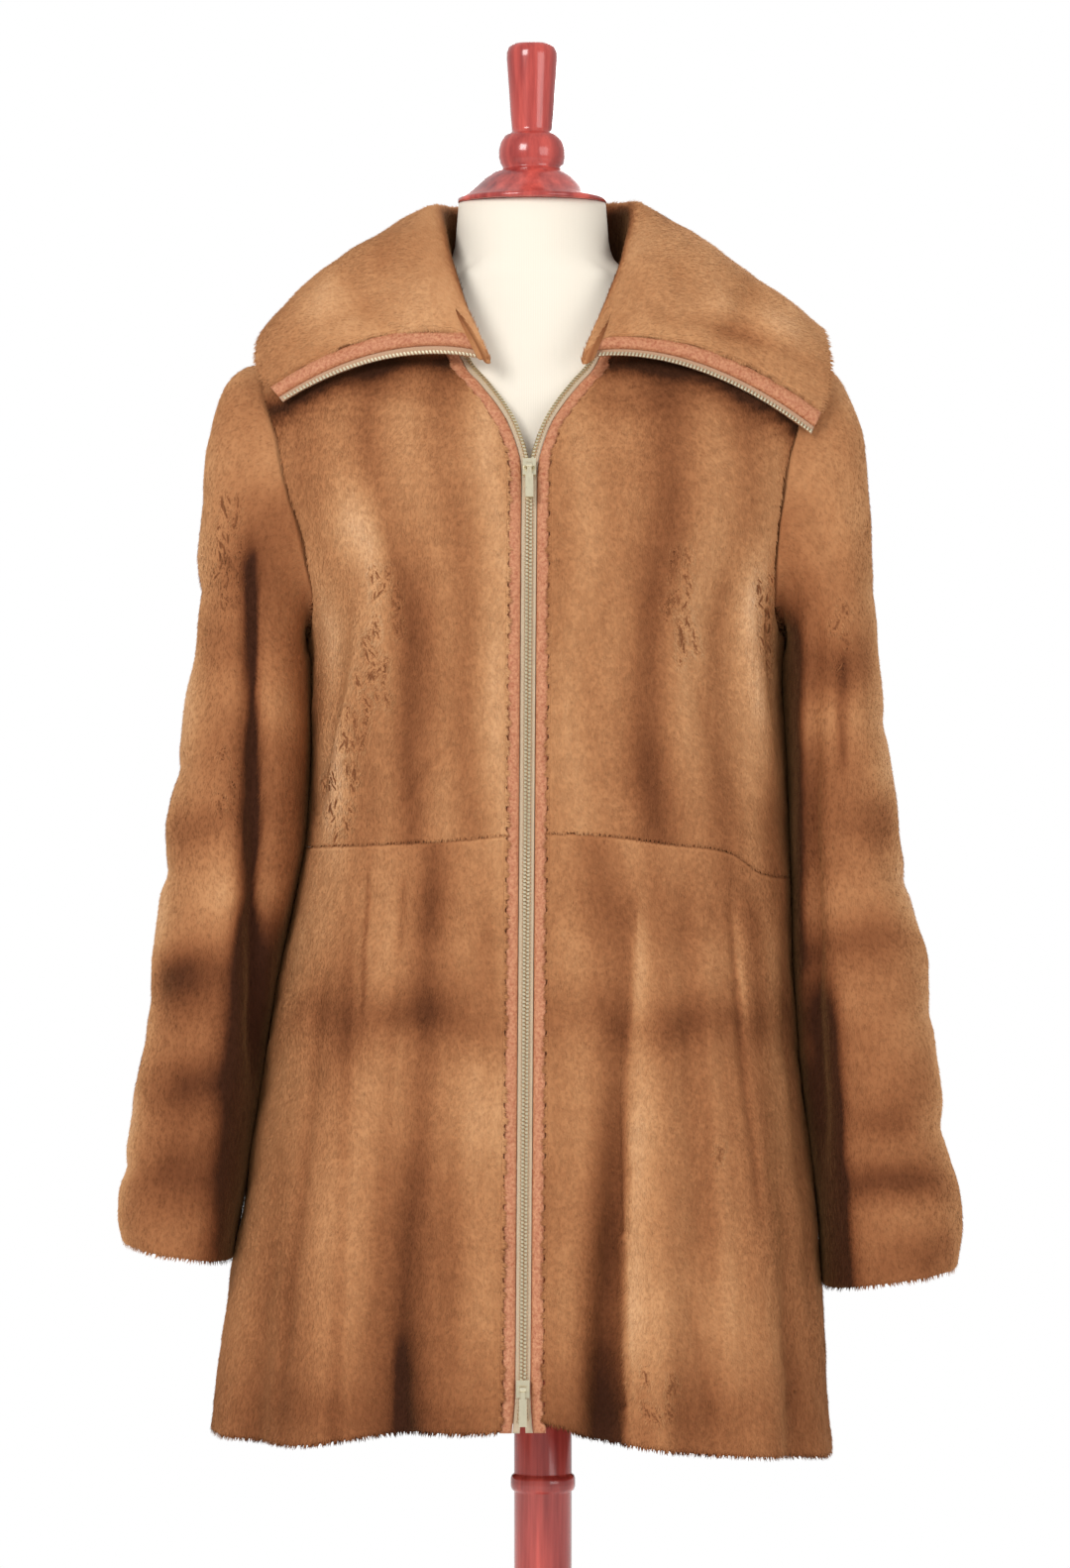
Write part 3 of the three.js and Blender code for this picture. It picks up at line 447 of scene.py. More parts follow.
def blade_mesh(name, left, right, tip, tones, normal, uvs=None):
    """One joined mesh of loose blades; tones holds three arrays, one for each corner."""
    corners = np.stack([left, right, tip], 1).reshape(-1, 3)
    faces = np.arange(len(corners)).reshape(-1, 3)
    tones = np.stack(tones, 1).ravel()
    pile = new_mesh(name, corners, faces, MATERIALS["pile"], tones, uvs, np.repeat(normal, 3, 0))
    place(pile, "coat", "fur")


def fur_blades(name, grid, normals, tone, count, nap, wrap, marks):
    """Short fur that lies along the nap on a surface grid."""
    rows, columns = grid.shape[:2]
    full_columns = columns if wrap else columns - 1
    nxt = (np.arange(full_columns) + 1) % columns
    p00, p01 = grid[:-1, :full_columns], grid[:-1, nxt]
    p10, p11 = grid[1:, :full_columns], grid[1:, nxt]
    area = 0.5 * np.linalg.norm(np.cross(p11 - p00, p10 - p01), axis=-1)
    pick = RNG.choice(area.size, size=count, p=area.ravel() / area.sum())
    i, j = np.divmod(pick, full_columns)
    u, v = RNG.random(count), RNG.random(count)

    def sample(field):
        f = field.reshape(rows, columns, -1)
        u1, v1 = u[:, None], v[:, None]
        low = f[i, j] * (1 - u1) + f[i, nxt[j]] * u1
        high = f[i + 1, j] * (1 - u1) + f[i + 1, nxt[j]] * u1
        return low * (1 - v1) + high * v1

    root = sample(grid)
    normal = unit(sample(normals))
    lay = sample(np.broadcast_to(nap, grid.shape))
    lay = lay - normal * np.sum(lay * normal, -1, keepdims=True)
    side = unit(np.cross(normal, unit(lay)))
    swirl = 0.3 * np.sin(root[:, :1] * 0.045 + root[:, 2:] * 0.031) + RNG.normal(0, 0.22, (count, 1))
    lay = unit(unit(lay) + side * swirl)
    side = unit(np.cross(normal, lay))
    rise = RNG.uniform(0.08, 0.5, (count, 1))
    size = BLADE_LENGTH * RNG.uniform(0.65, 1.15, (count, 1))
    shade = sample(tone)[:, 0] + RNG.normal(0, 0.018, count)
    for mark in marks:
        away = np.minimum(mark(root), mark(root + lay * size))
        part = bump(away, 1.3)
        size = size * (1 - 0.75 * part[:, None])
        rise = rise + 0.35 * bump(away - 2.6, 1.4)[:, None]
        # Painted shade in the partings and painted light on the raised fur beside them
        shade = shade - 0.4 * part + 0.08 * bump(away - 3, 1.6)
    half = BLADE_WIDTH * RNG.uniform(0.6, 1.1, (count, 1)) / 2
    base = root - normal * 0.25
    tip = root + lay * size * np.sqrt(1 - rise**2) + normal * size * rise * 0.7
    lean = unit(normal + side * RNG.normal(0, 0.1, (count, 1)) + lay * RNG.normal(0.05, 0.08, (count, 1)))
    uv = np.stack([(j + u) / max(full_columns, 1), (i + v) / (rows - 1)], -1)
    step = 0.004
    uvs = np.stack([uv, uv + [step, 0], uv + [0, step]], 1).reshape(-1, 2) * (1 - step)
    tones = (shade - 0.02, shade - 0.02, shade + 0.03)
    blade_mesh(name, base + side * half, base - side * half, tip, tones, lean, uvs)


def pelt(
    name, outer, relief, tone, count, nap_axis=None, wall=FUR_WALL, wrap=False, out=1, inner=None,
    radii=(3, 3, 3, 3), under=0.55,
):
    """A closed shell of fur with its pile and its partings. Returns its surface and normals."""
    normals = grid_normals(outer, wrap) * out
    surface = outer + normals * relief[..., None]
    drop = edge_drop(outer, wrap, radii)[..., None]
    top = surface - normals * drop
    if inner is None:
        inner = outer - normals * wall
    low = inner + normals * np.minimum(drop, wall * 0.3)
    points = np.concatenate([top.reshape(-1, 3), low.reshape(-1, 3)])
    faces = flip_if_needed(points, shell_faces(*outer.shape[:2], wrap))
    tones = np.concatenate([tone.ravel(), tone.ravel() * under])
    place(new_mesh(name, points, faces, MATERIALS["fur"], tones), "coat", "fur", name)
    normals = unit(mix(grid_normals(surface, wrap) * out, normals, 0.3))
    nap = DOWN if nap_axis is None else np.gradient(top, axis=nap_axis)
    fur_blades(name + "_pile", top, normals, tone, count, nap, wrap, parted_marks(name))
    parting_shade_mesh(name, top, normals)
    return top, normals


# Materials


def srgb(r, g, b):
    def linear(c):
        c = c / 255
        return c / 12.92 if c <= 0.04045 else ((c + 0.055) / 1.055) ** 2.4

    return (linear(r), linear(g), linear(b), 1)


def base_material(name, colour, roughness, metallic=0.0):
    material = bpy.data.materials.new(name)
    material.use_nodes = True
    shader = material.node_tree.nodes["Principled BSDF"]
    set_inputs(shader, Base_Color=colour, Roughness=roughness, Metallic=metallic)
    return material, material.node_tree, shader


def set_inputs(node, **values):
    """Sets a node's inputs by name, with underscores for spaces."""
    for name, value in values.items():
        node.inputs[name.replace("_", " ")].default_value = value


def link(tree, a, b):
    tree.links.new(a, b)


def add_node(tree, kind, **settings):
    node = tree.nodes.new(kind)
    for key, value in settings.items():
        setattr(node, key, value)
    return node


def noise(tree, coordinates, scale, detail=3.0, rough=0.6):
    node = add_node(tree, "ShaderNodeTexNoise")
    set_inputs(node, Scale=scale, Detail=detail, Roughness=rough)
    link(tree, coordinates, node.inputs["Vector"])
    return node.outputs["Fac"]


def stretched(tree, scale=(1, 1, 1)):
    """Object coordinates scaled differently along each axis."""
    where = add_node(tree, "ShaderNodeTexCoord")
    mapping = add_node(tree, "ShaderNodeMapping")
    set_inputs(mapping, Scale=scale)
    link(tree, where.outputs["Object"], mapping.inputs["Vector"])
    return mapping.outputs["Vector"]


def calculate(tree, operation, *values):
    """A sum of values, each a number or another node's output."""
    node = add_node(tree, "ShaderNodeMath", operation=operation)
    for socket, value in zip(node.inputs, values):
        if isinstance(value, float):
            socket.default_value = value
        else:
            link(tree, value, socket)
    return node.outputs[0]


def colour_ramp(tree, shader, factor, stops, interpolation="LINEAR"):
    """Base colour by a factor, from rows of position and colour."""
    ramp = add_node(tree, "ShaderNodeValToRGB")
    ramp.color_ramp.interpolation = interpolation
    elements = ramp.color_ramp.elements
    while len(elements) < len(stops):
        elements.new(0.5)
    for element, (position, colour) in zip(elements, stops):
        element.position = position
        element.color = srgb(*colour)
    link(tree, factor, ramp.inputs["Fac"])
    link(tree, ramp.outputs["Color"], shader.inputs["Base Color"])


FUR_COLOURS = [
    (0.0, (42, 20, 12)),
    (0.2, (112, 62, 35)),
    (0.42, (162, 103, 65)),
    (0.62, (196, 140, 94)),
    (0.82, (224, 176, 130)),
    (1.0, (240, 206, 172)),
]


def fur_material(name, roughness, mottling, specular, sheen, sheen_roughness):
    """Colour from the tone attribute with fine mottling."""
    material, tree, shader = base_material(name, srgb(170, 115, 75), roughness)
    tone = add_node(tree, "ShaderNodeVertexColor", layer_name="tone")
    fine = noise(tree, stretched(tree, (1, 1, 0.35)), 210, 4)
    coarse = noise(tree, stretched(tree, (1, 1, 0.5)), 34, 3)
    total = calculate(tree, "MULTIPLY_ADD", fine, mottling, tone.outputs["Color"])
    total = calculate(tree, "MULTIPLY_ADD", coarse, mottling, total)
    total = calculate(tree, "SUBTRACT", total, mottling)
    colour_ramp(tree, shader, total, FUR_COLOURS, "B_SPLINE")
    set_inputs(shader, Specular_IOR_Level=specular, Sheen_Weight=sheen, Sheen_Roughness=sheen_roughness)
    set_inputs(shader, Sheen_Tint=srgb(236, 174, 112))
    return material, tree, shader


def add_bump(tree, shader, height, strength, distance):
    node = add_node(tree, "ShaderNodeBump")
    set_inputs(node, Strength=strength, Distance=distance)
    link(tree, height, node.inputs["Height"])
    link(tree, node.outputs["Normal"], shader.inputs["Normal"])


def add_weave(tree, shader, direction, scale, distortion, strength, distance):
    weave = add_node(tree, "ShaderNodeTexWave", wave_type="BANDS", bands_direction=direction)
    set_inputs(weave, Scale=scale, Distortion=distortion)
    link(tree, stretched(tree), weave.inputs["Vector"])
    add_bump(tree, shader, weave.outputs["Fac"], strength, distance)


def make_materials():
    made = {}
    made["fur"], tree, shader = fur_material("fur", 0.9, 0.12, 0.12, 0.38, 0.45)
    add_bump(tree, shader, noise(tree, stretched(tree, (1, 1, 0.3)), 420, 3), 0.6, 0.0015)
    made["pile"], tree, shader = fur_material("pile", 0.85, 0.1, 0.1, 0.34, 0.5)

    # Dark leaves in the partings: painted shade in the openings of the pile
    made["parting"], tree, shader = base_material("parted fur", srgb(70, 36, 20), 0.95)
    depth = noise(tree, stretched(tree), 300, 2)
    colour_ramp(tree, shader, depth, [(0, (112, 66, 40)), (1, (152, 98, 63))])
    set_inputs(shader, Specular_IOR_Level=0.05)

    made["leather"], tree, shader = base_material("trim leather", srgb(198, 128, 96), 0.55)
    grain = noise(tree, stretched(tree), 520, 4)
    colour_ramp(tree, shader, grain, [(0.3, (168, 94, 58)), (0.7, (212, 148, 108))])
    add_bump(tree, shader, grain, 0.7, 0.0012)

    made["tape"], tree, shader = base_material("zip tape", srgb(206, 186, 158), 0.85)
    add_weave(tree, shader, "DIAGONAL", 420, 1.5, 0.5, 0.0006)
    # A darker, pinker copy of the zip tape for the collar: painted shade on the tape under the collar's
    # edge
    made["shaded_collar_tape"] = made["tape"].copy()
    made["shaded_collar_tape"].name = "collar zip tape"
    set_inputs(made["shaded_collar_tape"].node_tree.nodes["Principled BSDF"], Base_Color=srgb(196, 158, 128))

    made["metal"], tree, shader = base_material("zip metal", srgb(232, 222, 192), 0.3, 1.0)
    spread = add_node(tree, "ShaderNodeMapRange")
    set_inputs(spread, To_Min=0.22, To_Max=0.42)
    link(tree, noise(tree, stretched(tree), 600, 2), spread.inputs["Value"])
    link(tree, spread.outputs["Result"], shader.inputs["Roughness"])

    made["jersey"], tree, shader = base_material("jersey", srgb(242, 233, 217), 0.85)
    add_weave(tree, shader, "X", 260, 0.4, 0.12, 0.0004)
    set_inputs(shader, Specular_IOR_Level=0.2)

    made["wood"], tree, shader = base_material("varnished wood", srgb(140, 35, 30), 0.22)
    grain = noise(tree, stretched(tree, (1, 1, 0.05)), 60, 5, 0.65)
    colour_ramp(tree, shader, grain, [(0.32, (130, 26, 27)), (0.68, (222, 92, 80))])
    set_inputs(shader, Coat_Weight=0.5, Coat_Roughness=0.08)
    return made


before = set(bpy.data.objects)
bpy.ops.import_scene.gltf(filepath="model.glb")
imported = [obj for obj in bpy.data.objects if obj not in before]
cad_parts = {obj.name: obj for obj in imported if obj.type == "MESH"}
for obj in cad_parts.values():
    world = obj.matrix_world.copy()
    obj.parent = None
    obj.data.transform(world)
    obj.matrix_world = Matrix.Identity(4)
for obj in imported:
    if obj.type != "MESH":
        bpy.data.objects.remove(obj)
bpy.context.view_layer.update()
MATERIALS = make_materials()


def place(obj, body, slot_name, node=None):
    """Sets an object on its body, and where a CAD node is named, names the object after the node and its
    slot and hides the node in its place.
    """
    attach(obj, body)
    if node:
        obj.name = node + "_" + slot_name
        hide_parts(node)


# Tone of the pelts, with painted light and shade added to it: 0 is the darkest brown and 1 the palest tan

# Upright light and dark stripes of the bodice: angle, width in degrees, and change of tone
BODICE_STRIPES = [
    (-6, 3.5, 0.17), (-14, 3, -0.06), (-21, 4, 0.1), (-30, 3, -0.12), (-38, 4, 0.06), (-50, 5, -0.05),
    (-64, 6, 0.07), (-80, 6, -0.12), (7, 3.5, 0.12), (15, 3, 0.02), (24, 4.5, -0.17), (35, 4, 0.06),
    (44, 4, -0.08), (54, 4, 0.07), (66, 5, -0.09), (84, 6, -0.12), (110, 8, 0.08), (128, 6, -0.1),
    (147, 7, 0.08), (163, 5, -0.1), (180, 6, 0.1), (-163, 5, -0.08), (-146, 6, 0.07), (-127, 6, -0.1),
    (-108, 8, 0.06),
]
SKIRT_STRIPES = [
    (-5, 3, 0.1), (-12, 4, 0.05), (-21, 3, -0.1), (-32, 6, 0.05), (-46, 6, -0.05), (-70, 8, 0.06),
    (6, 3, 0.06), (12, 3, -0.05), (20, 3, 0.12), (31, 5, 0.03), (46, 4, -0.06), (60, 8, 0.05),
    (84, 8, -0.08), (120, 8, -0.06), (146, 8, 0.06), (168, 6, -0.08), (-171, 7, 0.07), (-150, 6, -0.07),
    (-120, 9, 0.05),
]


# Soft patches on the front, partly the pelts' own tone and partly painted light on the lit side edges and
# painted shade under the collar and in folds: x, height, reach across and up in mm, and change of tone
FRONT_TONE_AND_LIGHT_PATCHES = [
    (-126, 1224, 26, 30, 0.22), (-138, 1150, 16, 40, 0.18), (-140, 1046, 14, 50, 0.3),
    (-112, 1180, 9, 50, 0.1), (-76, 1130, 15, 90, -0.18), (-34, 1130, 9, 110, 0.07),
    (-58, 1262, 20, 24, 0.04), (-84, 1322, 30, 12, -0.12), (60, 1312, 36, 14, -0.14),
    (30, 1140, 12, 80, -0.04), (72, 1180, 12, 40, -0.05), (76, 1060, 15, 36, -0.12),
    (112, 1140, 16, 60, 0.08), (146, 1190, 18, 34, 0.14), (158, 1100, 12, 60, 0.18),
    (-150, 952, 18, 34, 0.1), (-96, 890, 46, 12, -0.1), (-60, 905, 20, 22, -0.08),
    (-30, 936, 14, 30, -0.1), (-70, 965, 12, 26, -0.12), (-36, 830, 14, 40, 0.06),
    (-62, 740, 14, 80, -0.09), (-96, 720, 12, 80, -0.06), (-150, 620, 40, 20, -0.12),
    (-70, 612, 24, 16, -0.1), (60, 960, 22, 30, -0.08), (105, 950, 24, 30, -0.08),
    (92, 884, 26, 16, -0.1), (130, 885, 22, 14, -0.08), (112, 790, 34, 60, -0.02),
    (40, 640, 12, 60, -0.05), (70, 800, 7, 120, 0.1), (64, 660, 7, 70, 0.14), (120, 620, 40, 18, -0.04),
]


def front_tone_and_light(points):
    x, y, z = points[..., 0], points[..., 1], points[..., 2]
    total = np.zeros(x.shape)
    for at, height, across, up, size in FRONT_TONE_AND_LIGHT_PATCHES:
        total = total + size * bump(x - at, across) * bump(z - height, up)
    return total * ease(-y / 30)


# Lines down the skirt where a fold's edge or a seam shows, with painted shade in the fold valleys and
# painted light on the fold edges:
# x and height at the top, x and height at the foot, reach to each side in mm, and change of tone
SKIRT_PAINTED_FOLD_LINES = [
    (70, 996, 61, 840, 12, 1.6, -0.12), (61, 870, 60, 540, 18, 1.6, -0.13),
    (74, 990, 65, 830, 1.6, 8, 0.07), (65, 850, 65, 540, 1.6, 9, 0.12), (-93, 690, -91, 540, 4, 6, -0.3),
    (-114, 1012, -120, 870, 1.3, 1.9, -0.2), (-126, 960, -138, 560, 6, 4, -0.1),
    (-80, 990, -78, 600, 12, 9, -0.1), (-44, 900, -46, 600, 9, 7, 0.05),
    (136, 996, 148, 860, 2.4, 1.6, 0.12), (148, 990, 158, 850, 6, 9, -0.22),
    (152, 880, 178, 590, 5, 9, -0.09), (112, 960, 124, 700, 5, 5, -0.05),
]


# Painted shade down the front of each sleeve, in its folds and where it hangs against the body, in the
# same order
SLEEVE_PAINTED_SHADE_LINES = {
    -1: [
        (-196, 1232, -196, 985, 6, 3, -0.52), (-196, 1045, -202, 880, 7, 4, -0.5),
        (-199, 985, -214, 660, 11, 50, -0.32), (-202, 915, -216, 700, 14, 50, -0.24),
        (-236, 890, -246, 760, 20, 30, -0.14),
    ],
    1: [
        (181, 1190, 184, 900, 24, 5, -0.48), (213, 1160, 213, 1040, 4, 4, -0.26),
        (203, 935, 217, 650, 8, 5, -0.26), (202, 930, 216, 650, 40, 8, -0.2),
        (203, 870, 216, 650, 40, 7, -0.24),
    ],
}


# Painted shade and painted light along lines down the front
def painted_fold_lines(rows, points):
    x, y, z = points[..., 0], points[..., 1], points[..., 2]
    total = np.zeros(x.shape)
    for x0, z0, x1, z1, left, right, size in rows:
        away = x - mix(x0, x1, np.clip((z0 - z) / (z0 - z1), 0, 1))
        fade = ease((z0 - z) / 50) * ease((z - z1) / 40)
        total = total + size * fade * bump(away, np.where(away < 0, left, right))
    return total * ease(-y / 30)


def stripes(rows, angle):
    return sum(size * bump(around(angle - at), width) for at, width, size in rows)


def wobble(points, scale, seed):
    """Slow uneven change over the surface, about -1 to 1."""
    rng = np.random.default_rng(seed)
    total = np.zeros(points.shape[:-1])
    for _ in range(7):
        direction = rng.normal(0, 1, 3)
        total = total + np.sin(points @ direction * scale * rng.uniform(0.6, 1.6) + rng.uniform(0, 6.28))
    return total / 2.6


def painted_collar_shadow(points):
    """Painted shadow on the fronts just below the collar's free edge."""
    x, y, z = points[..., 0], points[..., 1], points[..., 2]
    right = np.clip((-x - 40) / 140, 0, 1)
    left = np.clip((x - 42) / 154, 0, 1)
    right_edge = 1349 - 30 * right**1.15 + 52 * right * (1 - right)
    left_edge = 1349 - 51 * left**1.15 + 56 * left * (1 - left)
    below = np.where(x < 0, right_edge, left_edge) - 8 - z
    shade = ease((below + 12) / 14) * np.exp(-np.maximum(below - 5, 0) / 7)
    return shade * (y < 0) * ease((np.abs(x) - 34) / 10)


def bodice_tone(angle, z, points):
    tone = 0.5 + stripes(BODICE_STRIPES, angle + 1.2 * np.sin(z * 0.03))
    tone = tone - 0.04 * ease((1100 - z) / 90) + 0.035 * wobble(points, 0.03, 3)
    return tone + front_tone_and_light(points) - 0.5 * painted_collar_shadow(points)


def skirt_tone(angle, z, points):
    tone = 0.47 + stripes(SKIRT_STRIPES, angle + 1.5 * np.sin(z * 0.02))
    tone = tone + painted_fold_lines(SKIRT_PAINTED_FOLD_LINES, points)
    tone = tone - 0.08 * bump(z - 884 - 9 * np.sin(angle * 0.2), 17) + 0.05 * bump(z - 930, 22)
    tone = tone + 0.04 * bump(z - 820, 40) - 0.12 * ease((690 - z) / 90)
    return tone + 0.035 * wobble(points, 0.03, 4) + front_tone_and_light(points)


# Bands across each sleeve: height, width in mm, and change of tone
SLEEVE_BANDS = {
    -1: [
        (1265, 26, 0.06), (1210, 20, 0.03), (1150, 15, -0.06), (1104, 15, 0.04), (1062, 10, -0.04),
        (1026, 18, -0.17), (978, 14, 0.1), (912, 18, -0.22), (848, 15, -0.1), (808, 13, 0.04),
        (768, 13, -0.07), (734, 11, 0.05),
    ],
    1: [
        (1270, 26, 0.05), (1205, 24, 0.04), (1136, 17, -0.08), (1092, 16, 0.07), (1025, 14, -0.09),
        (972, 17, 0.1), (934, 11, -0.12), (884, 20, 0.02), (833, 11, -0.03), (765, 13, -0.2),
        (732, 12, -0.03),
    ],
}


# Soft patches of the sleeves: side, turn, height, reach in degrees and in mm, and change of tone
SLEEVE_PATCHES = [
    (-1, 62, 900, 34, 30, -0.2), (-1, 84, 840, 30, 20, -0.14), (-1, 6, 850, 26, 110, 0.13),
    (-1, 75, 765, 45, 26, -0.12), (-1, 66, 1240, 22, 40, 0.06), (-1, 80, 1200, 24, 22, -0.1),
    (-1, 40, 1100, 26, 22, 0.08), (1, 40, 950, 30, 24, 0.12), (1, 45, 1052, 28, 16, 0.14),
    (1, 78, 722, 50, 20, -0.2), (1, 85, 812, 22, 12, -0.14), (1, 60, 1230, 30, 34, 0.05),
    (1, 62, 868, 26, 26, 0.06), (1, 100, 900, 22, 120, -0.08),
]


def sleeve_tone(side, turn, z, points):
    tone = 0.5 + 0 * z
    for at, width, size in SLEEVE_BANDS[side]:
        lean = 9 * np.sin(np.radians(turn * 1.6 + at * 2.3))
        strength = 0.8 + 0.45 * np.sin(np.radians(turn * 2.7 + at * 3.1))
        tone = tone + size * strength * bump(z - at - lean, width)
    for where, at, height, wide, tall, size in SLEEVE_PATCHES:
        if where == side:
            tone = tone + size * bump(around(turn - at), wide) * bump(z - height, tall)
    # Painted light on the sleeve's outer side and painted shade toward its inner front
    tone = tone + 0.18 * bump(around(turn - 12), 24) - 0.13 * bump(around(turn - 150), 40)
    tone = tone - 0.05 * bump(around(turn - 72), 24)
    # Painted shade in the sleeve's crease
    crease = read(SLEEVES[side], "z", z)
    tone = tone - 0.009 * crease["dent"] * bump(turn - crease["crease"], 15)
    tone = tone + painted_fold_lines(SLEEVE_PAINTED_SHADE_LINES[side], points)
    # Painted shade on the side of the sleeve that faces the body
    tone = tone - 0.22 * bump(around(turn - 178), 20) * ease((1160 - z) / 40)
    return tone + 0.05 * wobble(points, 0.04, 5 + side)


def collar_tone(rib, run, points):
    from_end = np.minimum(rib, LAST_RIB - rib)
    # Painted shade on the stand inside the roll, away from the collar's ends, and in one crease of the
    # fall
    stand_shade = ease((0.95 - run) / 0.35) * ease((from_end - 0.6) / 0.9)
    tone = 0.6 + 0.03 * np.sin(rib * 2.1) - 0.56 * stand_shade
    tone = tone - 0.05 * bump(rib - 11.2, 0.35) * bump(run - 1.6, 0.2)
    return tone + 0.035 * wobble(points, 0.03, 9)


# Relief of the fur: soft creases drawn one by one, then slow unevenness.
# Each row: start angle and height, end angle and height, width in degrees, height in mm
BODICE_CREASES = [
    (-30, 1200, -36, 1140, 2.2, -1.6), (-46, 1170, -56, 1060, 2.6, 2.2),
    (-58, 1150, -70, 1040, 2.4, -1.8), (-70, 1180, -82, 1080, 3, 1.8), (-20, 1075, -34, 1030, 2.4, -1.2),
    (34, 1150, 41, 1080, 2.4, -1.6), (52, 1190, 60, 1090, 2.6, 2.2), (63, 1170, 72, 1060, 2.6, -2),
    (20, 1230, 27, 1090, 3, -1.4), (12, 1040, 22, 1014, 2.6, 1.2), (128, 1200, 140, 1060, 4, -2.2),
    (158, 1150, 170, 1020, 4, 2), (-132, 1190, -142, 1050, 4, -2.2), (-160, 1120, -172, 1010, 4, 1.8),
]
SKIRT_CREASES = [
    (-30, 985, -29, 930, 1.2, -2.4), (-29, 940, -28, 640, 1.4, -1.3), (-52, 920, -48, 620, 3, -2.2),
    (-12, 900, -13, 640, 3, -1.5), (32, 980, 31, 700, 2.4, -1.6), (38, 940, 37, 620, 2.4, 1.8),
    (47, 975, 47, 740, 1.8, -2.6), (72, 940, 72, 640, 4, -2.4), (28, 700, 33, 600, 1.4, -1.4),
    (104, 940, 104, 640, 4, -2.4), (132, 900, 134, 600, 4, 2), (156, 940, 156, 620, 3, -2.2),
    (178, 920, 180, 600, 4, -2), (-160, 880, -162, 600, 3, 2), (-136, 940, -138, 620, 3, -2.4),
    (-104, 920, -104, 640, 4, 2),
]


def creases(rows, angle, z):
    total = np.zeros(np.shape(angle))
    for a0, z0, a1, z1, width, size in rows:
        along = (z0 - z) / (z0 - z1)
        fade = ease(along * 4 + 0.4) * ease((1 - along) * 4 + 0.4)
        total = total + size * fade * bump(around(angle - mix(a0, a1, np.clip(along, 0, 1))), width)
    return total


def panel_grid(columns, rows, start, end, height_at):
    """Angles and heights of a panel; start and end give the side edges' angles at a height."""
    f = crowded(columns)
    i = crowded(rows)
    ff, ii = np.meshgrid(f, i)
    z = height_at(0 * ff, ii)
    angle = 0 * ff
    for _ in range(6):
        angle = mix(start(z), end(z), ff)
        z = height_at(around(angle), ii)
    return angle, z


def bodice_height(angle, i):
    waist = read(WAIST, "angle", angle)["z"] + SEAM / 2
    low = ARMHOLE_CENTRE - ARMHOLE_HALF
    high = ARMHOLE_CENTRE + ARMHOLE_HALF
    below = mix(waist, low, np.clip(i / 0.36, 0, 1))
    beside = ARMHOLE_CENTRE - ARMHOLE_HALF * np.cos(np.pi * np.clip((i - 0.36) / 0.5, 0, 1))
    above = mix(high, NECK_TOP, np.clip((i - 0.86) / 0.14, 0, 1))
    return np.where(i < 0.36, below, np.where(i < 0.86, beside, above))


def skirt_height(angle, i):
    hem = read(HEM, "angle", angle)["z"]
    return mix(hem, read(WAIST, "angle", angle)["z"] - SEAM / 2, i)


SIDE_GAP = 0.06


def side_angle(z, spread=1):
    """Angle of a front panel's side edge, which gives way to the armhole by the spread."""
    return 90 - SIDE_GAP - spread * armhole_spread(z)


def back_angle(z, spread=1):
    return 90 + SIDE_GAP + spread * armhole_spread(z)


DOWN = np.array([0.0, 0.0, -1.0])

# Lines where the pile opens, for each pelt
PARTINGS = {}
# Spots where it opens in short dark lines: centre, reach across and up, and number of lines
PARTED = {
    "sleeve_right": [((-212, 1226), 8, 26, 22), ((-212, 1190), 7, 20, 18), ((-214, 1050), 7, 20, 8)],
    "sleeve_left": [((214, 1150), 6, 24, 6)],
    "bodice_front_right": [
        ((-103, 1176), 10, 20, 13),
        ((-113, 1132), 11, 24, 18),
        ((-124, 1082), 10, 26, 18),
        ((-137, 1036), 10, 22, 15),
    ],
    "bodice_front_left": [((99, 1190), 7, 24, 13), ((104, 1146), 7, 20, 10), ((158, 1162), 5, 34, 17)],
    "skirt_front_left": [((84, 632), 10, 18, 6), ((126, 795), 3, 4, 2)],
}


def parted_marks(name):
    """Functions that give each point's distance from the nearest parting, in mm."""
    marks = []
    rng = np.random.default_rng(len(name) * 13)
    for (x, z), across, up, count in PARTED.get(name, []):
        lines = []
        for _ in range(count):
            start = np.array([x + rng.uniform(-across, across), z + rng.uniform(-up, up)])
            lean = rng.normal(0.08, 0.3)
            size = rng.uniform(3, 9)
            lines.append((start, start + size * np.array([math.sin(lean), -math.cos(lean)])))
        PARTINGS.setdefault(name, []).extend(lines)

        def mark(points, lines=lines):
            flat = points[:, [0, 2]]
            away = np.full(len(points), 99.0)
            for a, b in lines:
                along = np.clip(((flat - a) @ (b - a)) / np.sum((b - a) ** 2), 0, 1)
                spot = a + along[:, None] * (b - a)
                away = np.minimum(away, np.linalg.norm(flat - spot, axis=1))
            return np.where(points[:, 1] < 0, away, 99.0)

        marks.append(mark)
    return marks


